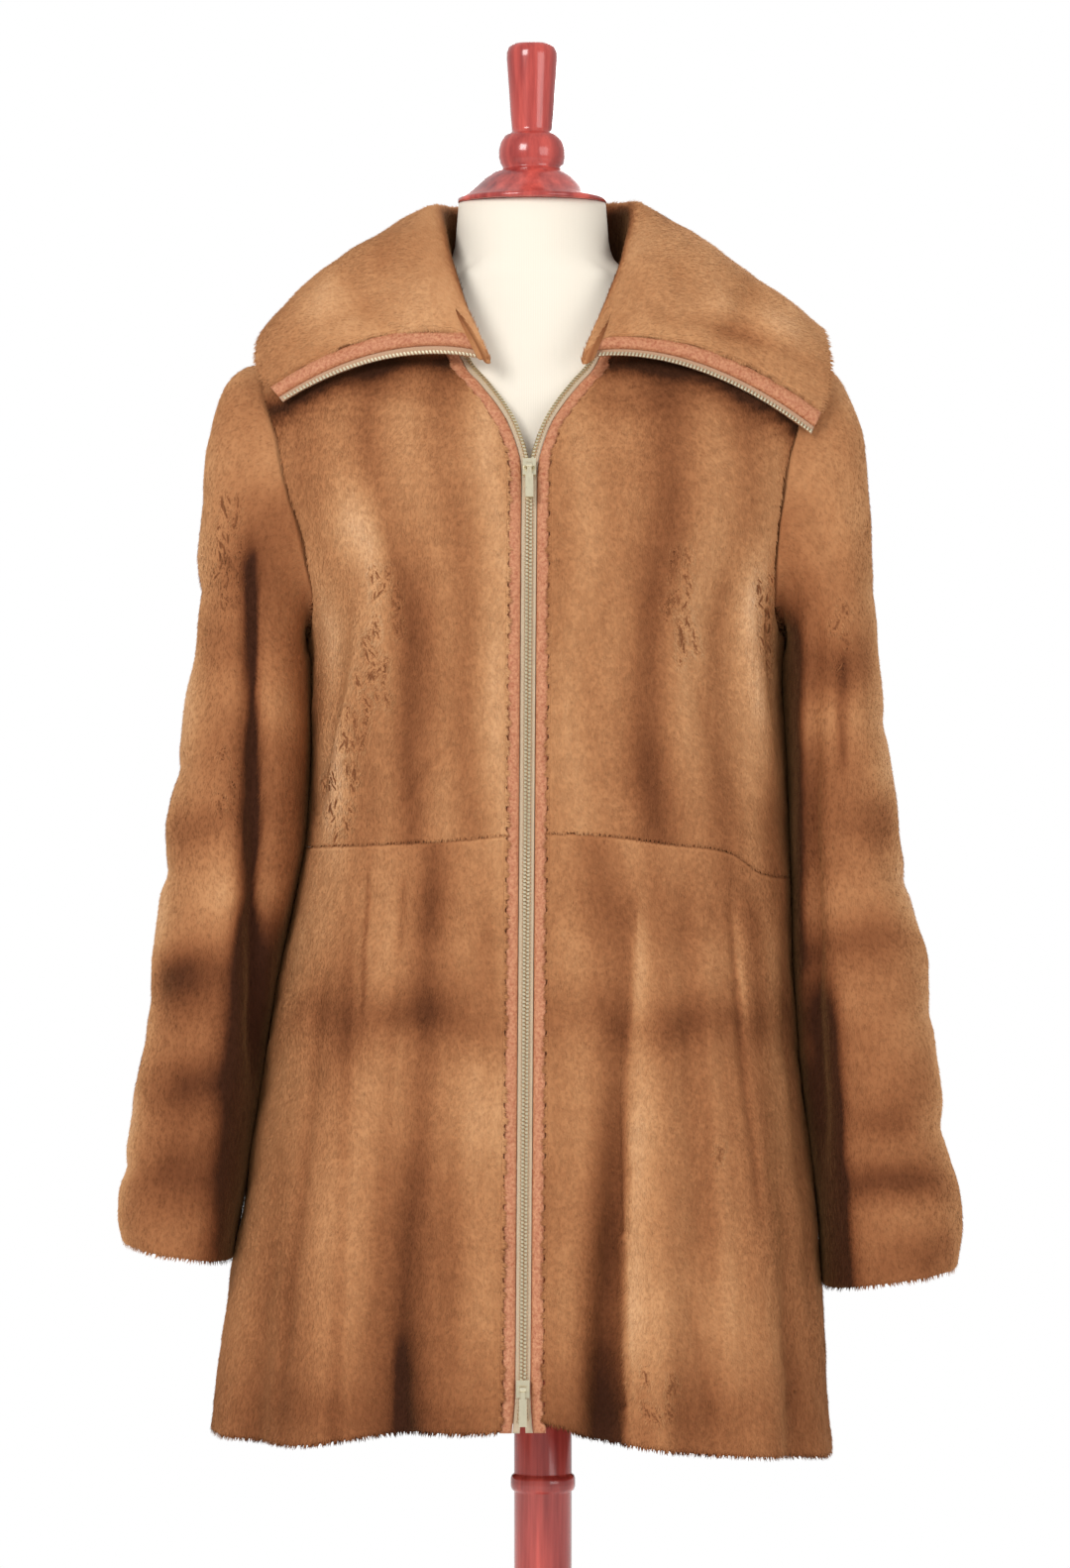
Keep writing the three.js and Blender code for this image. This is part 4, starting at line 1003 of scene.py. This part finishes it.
def fringe(name, grid, normals, tone, column, count):
    """Fur that leans over the trim from a front edge; column is the grid's column on that edge."""
    at = RNG.uniform(0, grid.shape[0] - 1.001, count)
    i = at.astype(int)
    share = (at - i)[:, None]
    step = 1 if column == 0 else -1

    def along(field, inward):
        return mix(field[i, column + inward * step], field[i + 1, column + inward * step], share)

    root, edge = along(grid, 1), along(grid, 0)
    normal = unit(along(normals, 4))
    out = unit(edge - along(grid, 8))
    out = unit(out - normal * np.sum(out * normal, -1, keepdims=True))
    out = unit(out + np.array([0, 0, -0.5]) + RNG.normal(0, 0.2, (count, 3)))
    tuft = 1 + 0.5 * np.sin(root[:, 2:] * 0.9) + 0.5 * np.sin(root[:, 2:] * 0.37)
    size = np.clip(RNG.uniform(1.2, 3.4, (count, 1)) * tuft, 0.8, 5)
    side = unit(np.cross(normal, out))
    half = 0.5 * RNG.uniform(0.6, 1.2, (count, 1))
    start = root + normal * RNG.uniform(-0.8, 0.3, (count, 1))
    tip = start + out * size - normal * RNG.uniform(0, 0.7, (count, 1))
    shade = tone[i, column + 3 * step] + RNG.normal(0, 0.03, count)
    tones = (shade, shade, shade - 0.03)
    blade_mesh(name + "_fringe", start + side * half, start - side * half, tip, tones, normal)


def parting_shade_mesh(name, grid, normals):
    """Thin dark openings in the pile, one slender leaf for each line, laid on the surface grid; their
    dark is painted shade.
    """
    flat, flat_normals = grid.reshape(-1, 3), normals.reshape(-1, 3)
    front = flat[:, 1] < -20
    flat, flat_normals = flat[front], flat_normals[front]
    points, faces = [], []
    for a, b in PARTINGS.get(name, []):
        across = np.array([-(b - a)[1], (b - a)[0]]) / np.linalg.norm(b - a)
        first = len(points)
        for step in range(7):
            share = step / 6
            bend = 0.3 * math.sin(share * 5 + a[0])
            half = 0.5 * math.sin(math.pi * (0.06 + 0.88 * share))
            for edge in (-1, 1):
                spot = a + share * (b - a) + across * (bend + edge * half)
                near = np.argsort(np.sum((flat[:, [0, 2]] - spot) ** 2, axis=1))[:4]
                weight = 1 / (1e-3 + np.sum((flat[near][:, [0, 2]] - spot) ** 2, axis=1))
                weight = (weight / weight.sum())[:, None]
                at = np.array([spot[0], 0, spot[1]])
                at[1] = np.sum(flat[near] * weight, axis=0)[1]
                points.append(at + unit(np.sum(flat_normals[near] * weight, axis=0)) * 0.9)
        for step in range(6):
            k = first + 2 * step
            faces.append((k, k + 1, k + 3, k + 2))
    if points:
        place(new_mesh(name + "_partings", points, faces, MATERIALS["parting"]), "coat", "fur")


def body_panel(name, columns, rows, start, end, kind, count, radii):
    height_at, tone_of, crease_rows = kind
    angle, z = panel_grid(columns, rows, start, end, height_at)
    outer = body_point(angle, z)
    out = 1 if np.sum(grid_normals(outer) * body_normal(angle, z)) > 0 else -1
    crease = creases(crease_rows, angle, z)
    relief = crease + 0.7 * wobble(outer, 0.05, 21) + 0.35 * wobble(outer, 0.14, 22)
    # Painted shade in crease and fold troughs and painted light on their ridges, and painted shade at the
    # panel's rounded edges
    tone = tone_of(angle, z, outer) + 0.035 * crease
    tone = tone + 0.011 * fold_height(angle, z) - 0.1 * edge_drop(outer, False, radii)
    if kind is SKIRT:
        # The lip of the fold that overlaps on the wearer's left
        away = outer[..., 0] - mix(70, 60, np.clip((990 - z) / 150, 0, 1))
        lip = np.where(away > 0, np.exp(-np.maximum(away, 0) / 15), -np.exp(np.minimum(away, 0) / 9))
        relief = relief + 2.6 * lip * ease((960 - z) / 160) * (outer[..., 1] < -20)
    from_side = np.abs(around(angle)) - 90
    beside_sleeve = bump(from_side, 9) * ease((z - GAP_STARTS) / 60) * ease((UNDERARM + 28 - z) / 12)
    relief = relief + (0.9 + 0.9 * gap_growth(z) + 1.8 * bump(z - UNDERARM, 12)) * beside_sleeve
    # Painted shade at the sides, where the sleeves hang against the body
    tone = tone - 0.3 * bump(from_side, 13) * ease((z - 700) / 120) * ease((1165 - z) / 40)
    top, normals = pelt(name, outer, relief, tone, count, out=out, radii=radii)
    if "front" in name:
        fringe(name, top, normals, tone, 0, FRONT_FRINGE)


SIDES = ((-1, "right"), (1, "left"))
BODICE = (bodice_height, bodice_tone, BODICE_CREASES)
BODICE_RADII = (1.8, 3, 1.4, 1.4)
SKIRT = (skirt_height, skirt_tone, SKIRT_CREASES)


def build_body():
    for side, word in SIDES:
        body_panel(
            f"bodice_front_{word}", 40, 70, lambda z, s=side: front_edge(s, z),
            lambda z, s=side: s * side_angle(z), BODICE, 54000, BODICE_RADII,
        )
        body_panel(
            f"skirt_front_{word}", 96, 76, lambda z, s=side: front_edge(s, z),
            lambda z, s=side: s * side_angle(z, 0), SKIRT, 70000, (3.2, 2.2, 1.4, 0.6),
        )
    body_panel(
        "bodice_back", 70, 66, back_angle, lambda z: 360 - back_angle(z), BODICE, 62000, BODICE_RADII
    )
    body_panel(
        "skirt_back", 80, 66, lambda z: back_angle(z, 0), lambda z: 360 - back_angle(z, 0), SKIRT, 78000,
        (3.2, 2.2, 0.6, 0.6),
    )


def underarm(side, word, count=1300):
    """Fur that closes the seam under the arm, dark with painted shade."""
    turn = 180 + np.clip(RNG.normal(0, 15, count), -42, 42)
    root = armhole_point(side, turn, 1.5)
    normal = unit(armhole_point(side, turn, 0) - armhole_point(side, turn, 1))
    lay = unit(normal + RNG.normal(0, 0.6, (count, 3)))
    width = unit(np.cross(lay, RNG.normal(0, 1, (count, 3)))) * RNG.uniform(0.5, 0.9, (count, 1))
    tip = root + lay * RNG.uniform(3.5, 7, (count, 1))
    shade = RNG.uniform(0.12, 0.26, count)
    blade_mesh(f"underarm_{word}_pile", root + width, root - width, tip, (shade,) * 3, normal)


# Soft bulges and dents of the sleeves: side, turn, height, reach in degrees, reach in mm, height in mm
SLEEVE_DENTS = [
    (-1, 0, 1180, 60, 10, -2.5), (-1, 20, 1210, 60, 20, 1.5), (-1, 10, 1058, 60, 9, -2.5),
    (-1, 10, 985, 60, 9, -2.5), (-1, 0, 896, 60, 9, -2), (-1, 10, 778, 70, 9, -3),
    (-1, 20, 1110, 60, 22, 2), (-1, 20, 1020, 60, 18, 2), (-1, 20, 930, 60, 18, 2),
    (-1, 20, 835, 70, 22, 2), (-1, 70, 1150, 26, 40, 2.2), (-1, 60, 870, 30, 26, -2),
    (1, 10, 980, 60, 10, -3.5), (1, 20, 1180, 60, 10, -2), (1, 10, 1090, 60, 10, -2),
    (1, 10, 886, 60, 9, -2), (1, 10, 806, 70, 10, -3), (1, 20, 1030, 60, 22, 2), (1, 20, 925, 60, 16, 2),
    (1, 20, 840, 60, 18, 2), (1, 84, 1226, 9, 42, -5), (1, 70, 1120, 24, 40, 2),
    (-1, 270, 1060, 60, 12, -3), (-1, 270, 960, 60, 12, 3), (-1, 290, 860, 50, 12, -3),
    (1, 270, 1080, 60, 12, -3), (1, 260, 990, 60, 14, 3), (1, 290, 880, 50, 12, -3),
]


def build_sleeve(side, name):
    top, bottom = SLEEVES[side]["z"][-1], SLEEVES[side]["z"][0]
    turns = np.arange(0, 360, 5.0)
    heads = np.concatenate([[0, 0.01, 0.03, 0.06], np.linspace(0.1, 1, 24)[:-1]])
    tubes = np.concatenate([np.linspace(0, 0.975, 78), 1 - 0.012 * np.array([1, 0.6, 0.3, 0.1, 0])])
    turn_h, run_h = np.meshgrid(turns, heads)
    turn_t, run_t = np.meshgrid(turns, tubes)
    z_t = mix(top, bottom, run_t)
    head = head_point(side, turn_h, run_h)
    outer = np.concatenate([head, tube_point(side, turn_t, z_t)])
    soft = np.concatenate([head, tube_point(side, turn_t, z_t, 1)])
    turn = np.concatenate([turn_h, turn_t])
    run_all = np.concatenate([run_h, 1 + run_t])
    z = outer[..., 2]
    from_middle = outer - outer.mean(axis=1, keepdims=True)
    out = 1 if np.sum(grid_normals(outer, True) * from_middle) > 0 else -1
    relief = 0.8 * wobble(outer, 0.05, 31 + side) + 0.4 * wobble(outer, 0.14, 33 + side)
    for where, at, height, wide, tall, size in SLEEVE_DENTS:
        if where == side:
            reach = bump(around(turn - at), wide) * bump(z - height - 5 * np.sin(np.radians(turn)), tall)
            relief = relief + size * reach
    facing_body = bump(around(turn - 180), 32)
    near_arm = (0.7 + 0.9 * gap_growth(z)) * ease((z - GAP_STARTS) / 60) + 1.6 * bump(z - UNDERARM, 14)
    relief = relief * (1 - facing_body) + near_arm * facing_body * ease((run_all - 0.6) / 0.3)
    start = armhole_point(side, turns, 0) - armhole_point(side, turns, 1)
    blend = ease(np.concatenate([heads, 1 + tubes]) / 0.32)[:, None, None]
    away = unit(mix(start[None], grid_normals(soft, True) * out, blend))
    tone = sleeve_tone(side, turn, z, outer)
    pelt(
        name, outer, relief, tone, 74000, 0, wrap=True, out=out, inner=soft - away * FUR_WALL,
        radii=(1.6, 3.4, 0, 0),
    )


# Creases of the collar: rib, its lean and its reach, run, its change toward the middle and its reach,
# and height in mm
COLLAR_FOLDS = [
    (11.15, 0.25, 0.16, 1.62, 0, 0.26, -3.2),
    (10.75, 0.25, 0.2, 1.6, 0, 0.26, 2.2),
    (0.9, 0, 0.2, 1.55, 0, 0.3, -1.8),
    (1.3, 0, 0.9, 1.36, 0.09, 0.07, -2.2),
    (1.3, 0, 0.9, 1.58, 0.06, 0.12, 2.4),
    (10.8, 0, 0.9, 1.46, 0.1, 0.06, -2.2),
    (10.8, 0, 0.9, 1.7, 0.05, 0.12, 2.4),
    (4.6, 0, 0.2, 1.6, 0, 0.4, -2.5),
    (7.4, 0, 0.22, 1.5, 0, 0.4, -2.5),
]


def build_collar():
    foot = 0.01 * np.array([0, 1, 3])
    runs = np.concatenate([foot, np.linspace(0.06, 1, 24)[:-1], 1 + crowded(44)[3:]])
    run, share = np.meshgrid(runs, crowded(130))
    inset = mix(0.02, COLLAR_TRIM, ease((run - 0.92) / 0.16))
    rib = mix(inset, LAST_RIB - inset, share)
    outer = collar_chain(rib, run)
    out = 1 if np.mean(grid_normals(outer)[:, -20:, 2]) > 0 else -1
    relief = 0.9 * wobble(outer, 0.045, 41) + 0.4 * wobble(outer, 0.13, 42)
    for at, lean, reach, run_at, slope, run_reach, size in COLLAR_FOLDS:
        own_end = rib if at < LAST_RIB / 2 else LAST_RIB - rib
        across = bump(rib - at + lean * (run - 1.6), reach)
        relief = relief + size * across * bump(run - run_at - slope * own_end, run_reach)
    relief = relief * np.clip(run, 0, 1)
    # Painted shade in the collar's creases and painted light on its bulges
    tone = collar_tone(rib, run, outer) + 0.03 * relief
    at_end = bump(np.minimum(rib, LAST_RIB - rib), 0.5)
    under = mix(0.55, 1.25, at_end * ease((run - 0.5) / 0.3)).ravel()
    surface, normals = pelt(
        "collar", outer, relief, tone, 72000, 1, COLLAR_WALL, out=out, radii=(3, 3, 2, 3.6), under=under
    )
    fall = runs > 1.03
    along = surface[:, fall].transpose(1, 0, 2)
    upward = normals[:, fall].transpose(1, 0, 2)
    for word, column in (("right", 0), ("left", -1)):
        fringe(f"collar_{word}", along, upward, tone[:, fall].T, column, COLLAR_FRINGE)


# Leather trims and zip


def strip_frame(side, z, across):
    """Points and normals on the body's surface beside the zip line."""
    x = zip_line(z) + side * (opening(z) + SEAM / 2 + across * slant(z))
    angle = front_angle(x, z)
    return body_point(angle, z), body_normal(angle, z)


def hem_at(side):
    return float(read(HEM, "angle", side * 6.0)["z"])


def ribbon(node, points, normals, tops, bottom, material, slot_name):
    """A closed band in a node's place; points is [along, across] and tops are depths across it."""
    upper = points - normals * np.asarray(tops)[..., None]
    lower = points - normals * bottom
    both = np.concatenate([upper.reshape(-1, 3), lower.reshape(-1, 3)])
    faces = flip_if_needed(both, shell_faces(*points.shape[:2], False))
    place(new_mesh(node, both, faces, MATERIALS[material]), "coat", slot_name, node)


TRIM_SHARES = np.array([0, 0.04, 0.14, 0.3, 0.5, 0.7, 0.86, 0.96, 1])
TRIM_ACROSS = TAPE_WIDTH + SEAM + (TRIM_WIDTH - 2 * SEAM) * TRIM_SHARES
TRIM_TOPS = np.array([4.0, 2.6, 1.8, 1.3, 1.1, 1.2, 1.5, 2.0, 2.8])
TAPE_ACROSS = np.array([0, 0.3, 1.5, 3, 4.6, 5.0])
TRIM_END_DROP = 1.6
COLLAR_TRIM_SHARES = np.array([0, 0.05, 0.15, 0.32, 0.5, 0.68, 0.85, 0.95, 1])
COLLAR_TRIM_TOPS = np.array([3.4, 1.8, 0.9, 0.4, 0.3, 0.4, 0.9, 1.8, 3.0])
TOOTH_PITCH = 2.6
# Width along the strip's breadth, height and length of one tooth
TOOTH_SIZE = (3.1, 2.2, 1.35)


def tooth(centre, along, across, normal, width, height, length):
    """Corners of one zip tooth with a rounded crown."""
    shape = []
    for a, b in ((-0.5, 0), (0.5, 0), (0.5, 0.65), (0.28, 1), (-0.28, 1), (-0.5, 0.65)):
        for end in (-0.5, 0.5):
            shape.append(centre + across * a * width + normal * b * height + along * end * length)
    return shape


def teeth_mesh(name, path, across, normal, start, sink, inward):
    """Teeth along a path of points; across points from the zip line outward."""
    steps = np.linalg.norm(np.diff(path, axis=0), axis=1)
    run = np.concatenate([[0], np.cumsum(steps)])
    points, faces = [], []
    at = start
    while at < run[-1] - 1:
        k = max(min(int(np.searchsorted(run, at)) - 1, len(steps) - 1), 0)
        t = (at - run[k]) / steps[k]
        centre = mix(path[k], path[k + 1], t) + across[k] * inward - normal[k] * sink
        along = unit(path[k + 1] - path[k])
        base = len(points)
        points.extend(tooth(centre, along, across[k], normal[k], *TOOTH_SIZE))
        for a in range(6):
            b = (a + 1) % 6
            faces.append((base + 2 * a, base + 2 * b, base + 2 * b + 1, base + 2 * a + 1))
        faces.append(tuple(base + 2 * a + 1 for a in range(6)))
        faces.append(tuple(base + 2 * a for a in reversed(range(6))))
        at += TOOTH_PITCH
    place(new_mesh(name, points, faces, MATERIALS["metal"], smooth=False), "coat", "zip_metal")


def build_front_strips():
    for side, word in SIDES:
        bottom = hem_at(side)
        closed, parted = np.linspace(bottom, ZIP_TOP, 240), np.linspace(ZIP_TOP + 3, STRIP_TOP + 20, 64)
        z = np.concatenate([closed, parted])
        zz, across = np.meshgrid(z, TRIM_ACROSS, indexing="ij")
        points, normals = strip_frame(side, zz, across)
        pucker = 0.5 * np.sin(zz * 0.8 + 2 * np.sin(zz * 0.13)) * bump(across - 10.2, 3)
        tops = TRIM_TOPS[None] - (pucker + 0.25 * wobble(points, 0.3, 51))
        tops[[0, -1]] += TRIM_END_DROP
        ribbon(f"trim_{word}", points, normals, tops, 4.8, "leather", "leather_trim")

        zz, across = np.meshgrid(z, TAPE_ACROSS, indexing="ij")
        points, normals = strip_frame(side, zz, across)
        ribbon(f"zip_{word}", points, normals, 3.9 + 0 * zz, 5.2, "tape", "zip_tape")

        line, up = strip_frame(side, z, 0 * z)
        outward, _ = strip_frame(side, z, 0 * z + 3)
        shift = 0.5 * TOOTH_PITCH if side > 0 else 0
        teeth_mesh(f"teeth_{word}", line, unit(outward - line), up, 8 + shift, 4.0, 1.1)


def collar_strip(near, far, shares):
    """Points and upward normals of a strip on the collar's fall, between two ribs."""
    along = 1 + np.linspace(0.005, 1, 100)
    run, share = np.meshgrid(along, shares, indexing="ij")
    points = collar_chain(mix(near, far, share), run)
    normals = grid_normals(points)
    return points, normals * (1 if np.mean(normals[..., 2]) > 0 else -1)


def build_collar_strips():
    for word, end, inward in (("right", 0.0, 1), ("left", LAST_RIB, -1)):
        near, far = end + inward * 0.009, end + inward * (COLLAR_TRIM - 0.009)
        points, normals = collar_strip(near, far, COLLAR_TRIM_SHARES)
        tops = COLLAR_TRIM_TOPS[None] - 0.3 * wobble(points, 0.3, 61)
        ribbon(f"collar_trim_{word}", points, normals, tops, COLLAR_WALL - 1, "leather", "leather_trim")
        points, normals = collar_strip(end - inward * COLLAR_TAPE, end, [0, 0.1, 0.5, 0.9, 1])
        tops = 4.4 + 0 * points[..., 0]
        ribbon(f"collar_zip_{word}", points, normals, tops, 6, "shaded_collar_tape", "zip_tape")
        outward = unit(points[:, 2] - points[:, 0])
        teeth_mesh(f"collar_teeth_{word}", points[:, 0], outward, normals[:, 0], 4, 5.2, 0.9)


# Form and stand


def turned(node, profile, segments, x, material):
    """A smooth turned solid in a node's place, from rows of radius and height."""
    angle = np.linspace(0, 2 * math.pi, segments, endpoint=False)
    points, faces, rings = [], [], []
    for r, z in profile:
        rings.append((len(points), r > 0))
        if r > 0:
            points.extend(np.stack([x + r * np.cos(angle), r * np.sin(angle), 0 * angle + z], -1))
        else:
            points.append(np.array([x, 0, z]))
    for (a, wide_a), (b, wide_b) in zip(rings, rings[1:]):
        for k in range(segments):
            n = (k + 1) % segments
            if wide_a and wide_b:
                faces.append((a + k, a + n, b + n, b + k))
            elif wide_a:
                faces.append((a + k, a + n, b))
            else:
                faces.append((a, b + n, b + k))
    place(new_mesh(node, points, faces, material), "coat", "varnished_wood", node)


CAP = [
    (0, 1571), (10, 1571), (14, 1570.4), (16.8, 1568), (18, 1564), (18, 1560), (17.2, 1548), (16.4, 1538),
    (15.4, 1522), (14.4, 1511), (14.3, 1508.4), (16.6, 1507.4), (19.6, 1505.4), (22.2, 1501),
    (23.5, 1495.5),
    (23.5, 1490.5), (22.2, 1486), (20.6, 1483.4), (21.4, 1482), (25, 1481), (28, 1479.4), (34, 1475),
    (40, 1469.4), (46, 1464.6), (50.6, 1462), (52.3, 1461), (52.5, 1460), (52.4, 1458.6),
    (51.8, 1458.1), (0, 1458),
]
POLE = [
    (0, 46.3), (20.3, 46.3), (20.3, 200), (20.3, 400), (20.3, 548), (20.6, 549), (22, 550),
    (22.7, 552), (22.8, 555),
    (22.7, 558), (22, 560), (20.6, 561), (20.3, 562), (20.3, 640), (20.3, 781.6), (0, 781.6),
]
BASE = [
    (0, 0), (161, 0), (163.4, 0.8), (165, 3), (165, 12), (163.8, 16.4), (160, 20.4), (154, 23.4),
    (146, 25.2), (110, 27),
    (62, 30), (50, 31.6), (42, 34), (36, 38.6), (33.4, 42.6), (31.6, 45.2), (29.6, 46), (0, 46),
]
NECK_X = -2
POLE_X = 5.6
FORM = table(
    ("z", "half", "front", "back", "cling", "gap"),
    [
        (782, 150, 92, 96, 0, 1), (786, 161, 99, 104, 0, 1), (840, 165, 101, 108, 0, 1),
        (900, 160, 99, 104, 0, 1), (960, 138, 90, 90, 0, 1), (1030, 122, 84, 80, 0, 1),
        (1090, 130, 92, 86, 0, 1), (1160, 143, 104, 96, 0, 1), (1215, 154, 106, 101, 0, 1),
        (1265, 164, 98, 98, 0, 1), (1300, 170, 84, 88, 0.2, 1.2), (1326, 172, 74, 78, 0.8, 1.2),
        (1346, 172, 64, 68, 1, 1.2), (1362.5, 150, 58, 62, 1, 1.2), (1379, 130, 52, 57, 1, 1.2),
        (1395.5, 98, 47, 51, 1, 3), (1412, 75, 44.5, 47, 1, 3.8), (1412.5, 57, 44, 44, 0, 1),
        (1432, 54, 44, 43, 0, 1), (1457.7, 52, 46, 44, 0, 1),
    ],
)


# Lowest and highest level and number of levels, for the trunk, the neck's foot and the neck
FORM_LEVELS = ((782, 1340, 80), (1344, 1410, 24), (1414, 1457.7, 14))


def build_form():
    levels = np.concatenate([np.linspace(*span) for span in FORM_LEVELS])
    angle, z = np.meshgrid(np.arange(-180, 180, 4.0), levels)
    row = {key: np.interp(z, FORM["z"], FORM[key]) for key in FORM}
    s, c = np.sin(np.radians(angle)), np.cos(np.radians(angle))
    shift = mix(POLE_X, NECK_X, np.clip((z - 780) / 650, 0, 1))
    p = np.where(z > NECK_TOP, 1, 0.9)
    x = shift + power(s, p) * row["half"]
    y = -power(c, p) * np.where(c > 0, row["front"], row["back"])
    own = np.stack([x, y, z], -1)
    worn = np.minimum(z, NECK_TOP)
    inside = body_point(angle, worn, False)
    inside = inside - body_normal(angle, worn, False) * (FUR_WALL + row["gap"])[..., None]
    inside[..., 2] = z
    shown = ease((opening(worn) - 2 - np.abs(x)) / 12) * (y < 0)
    points = mix(own, inside, (row["cling"] * (1 - shown))[..., None])
    for _ in range(3):
        for k in range(85, len(levels) - 10):
            points[k, :, :2] = (points[k - 1, :, :2] + 2 * points[k, :, :2] + points[k + 1, :, :2]) / 4
    count = points.shape[1]
    top_ring = (len(levels) - 1) * count
    faces = []
    for first in range(0, top_ring, count):
        for k in range(count):
            n = (k + 1) % count
            faces.append((first + k, first + n, first + count + n, first + count + k))
    faces.append(tuple(range(count))[::-1])
    faces.append(tuple(top_ring + k for k in range(count)))
    smooth = [len(face) == 4 for face in faces]
    form = new_mesh("form", points.reshape(-1, 3), faces, MATERIALS["jersey"], smooth=smooth)
    place(form, "coat", "jersey", "torso")
    turned("neck_cap", CAP, 96, NECK_X, MATERIALS["wood"])
    turned("pole", POLE, 72, POLE_X, MATERIALS["wood"])
    turned("base", BASE, 128, 0, MATERIALS["wood"])


def build_sliders():
    for name in ("slider_top", "slider_bottom", "pull_top", "pull_bottom"):
        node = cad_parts[name]
        node.data.materials.clear()
        node.data.materials.append(MATERIALS["metal"])
        soften = node.modifiers.new("soften", "BEVEL")
        soften.width = 0.0004
        soften.segments = 2


build_body()
for side, word in SIDES:
    build_sleeve(side, f"sleeve_{word}")
for side, word in SIDES:
    underarm(side, word)
build_collar()
build_front_strips()
build_collar_strips()
build_form()
build_sliders()

# Cut of each pelt as it lies flat: width, length and area in metres, how it is held and what carries it
CUTS = [
    ("bodice_front_right", 0.21, 0.55, 0.071, "hung", "torso_jersey"),
    ("bodice_front_left", 0.235, 0.57, 0.079, "hung", "torso_jersey"),
    ("bodice_back", 0.46, 0.565, 0.175, "hung", "torso_jersey"),
    ("skirt_front_right", 0.29, 0.42, 0.102, "hung", "bodice_front_right_fur"),
    ("skirt_front_left", 0.31, 0.42, 0.109, "hung", "bodice_front_left_fur"),
    ("skirt_back", 0.64, 0.43, 0.230, "hung", "bodice_back_fur"),
    ("sleeve_right", 0.54, 0.65, 0.214, "hung", "bodice_front_right_fur"),
    ("sleeve_left", 0.54, 0.67, 0.219, "hung", "bodice_front_left_fur"),
    ("collar", 0.73, 0.24, 0.117, "folded", "bodice_back_fur"),
]


def declare_cuts():
    """Gathers for each pelt the names of what lies on it or along its edge, and does nothing with them.
    """
    for pelt, width, length, area, held, carrier in CUTS:
        carried = [pelt + end for end in ("_pile", "_fringe", "_partings")]
        if pelt.startswith("bodice_front"):
            word = pelt.split("_")[-1]
            carried += [f"trim_{word}_leather_trim", f"zip_{word}_zip_tape", f"teeth_{word}"]
        if pelt.startswith("sleeve"):
            carried.append("underarm_" + pelt.split("_")[-1] + "_pile")
        if pelt == "collar":
            for word in ("right", "left"):
                carried += [f"collar_trim_{word}_leather_trim", f"collar_zip_{word}_zip_tape"]
                carried += [f"collar_teeth_{word}", f"collar_{word}_fringe"]


declare_cuts()

# Light and camera

FLOOR_RADIUS = 3200
FLOOR_CORNERS = 120
floor_material, floor_tree, floor_shader = base_material("floor", (0.86, 0.86, 0.85, 1), 0.8)
add_bump(floor_tree, floor_shader, noise(floor_tree, stretched(floor_tree), 40, 2), 0.05, 0.001)
rim = np.linspace(0, 2 * math.pi, FLOOR_CORNERS, endpoint=False)
floor_points = np.stack([FLOOR_RADIUS * np.cos(rim), FLOOR_RADIUS * np.sin(rim), 0 * rim - 0.5], -1)
new_mesh("floor", floor_points, [tuple(range(FLOOR_CORNERS))], floor_material)

# The room lights the coat softly, and looks white behind it
scene = bpy.context.scene
world = bpy.data.worlds.new("studio")
scene.world = world
world.use_nodes = True
tree = world.node_tree
background = tree.nodes["Background"]
set_inputs(background, Color=(1, 1, 1, 1), Strength=0.585)
white = add_node(tree, "ShaderNodeBackground")
set_inputs(white, Color=(1, 1, 1, 1), Strength=1.0)
path = add_node(tree, "ShaderNodeLightPath")
choose = add_node(tree, "ShaderNodeMixShader")
link(tree, path.outputs["Is Camera Ray"], choose.inputs["Fac"])
link(tree, background.outputs["Background"], choose.inputs[1])
link(tree, white.outputs["Background"], choose.inputs[2])
link(tree, choose.outputs["Shader"], tree.nodes["World Output"].inputs["Surface"])


def area_light(name, spot, aim, size, watts):
    light = bpy.data.lights.new(name, "AREA")
    light.size = size
    light.energy = watts
    obj = bpy.data.objects.new(name, light)
    obj.location = spot
    obj.rotation_euler = (Vector(aim) - Vector(spot)).to_track_quat("-Z", "Y").to_euler()
    scene.collection.objects.link(obj)


# Name, place, aim, size and power of each light
LIGHTS = [
    ("key", (-2.2, -3.4, 2.9), (0, 0, 1.05), 1.6, 95),
    ("fill", (2.6, -3.0, 1.7), (0, 0, 1.0), 2.2, 36),
    ("back", (0.6, 3.2, 2.6), (0, 0, 1.1), 2.0, 60),
]
for row in LIGHTS:
    area_light(*row)

CAMERA_DISTANCE = 4.0
PHOTO_CENTRE = 1.048
camera_data = bpy.data.cameras.new("camera")
camera = bpy.data.objects.new("camera", camera_data)
camera.location = (0, -CAMERA_DISTANCE, PHOTO_CENTRE)
camera.rotation_euler = (math.pi / 2, 0, 0)
camera_data.sensor_width = 36
camera_data.lens = 130.0
scene.collection.objects.link(camera)
scene.camera = camera
scene.view_settings.view_transform = "Standard"
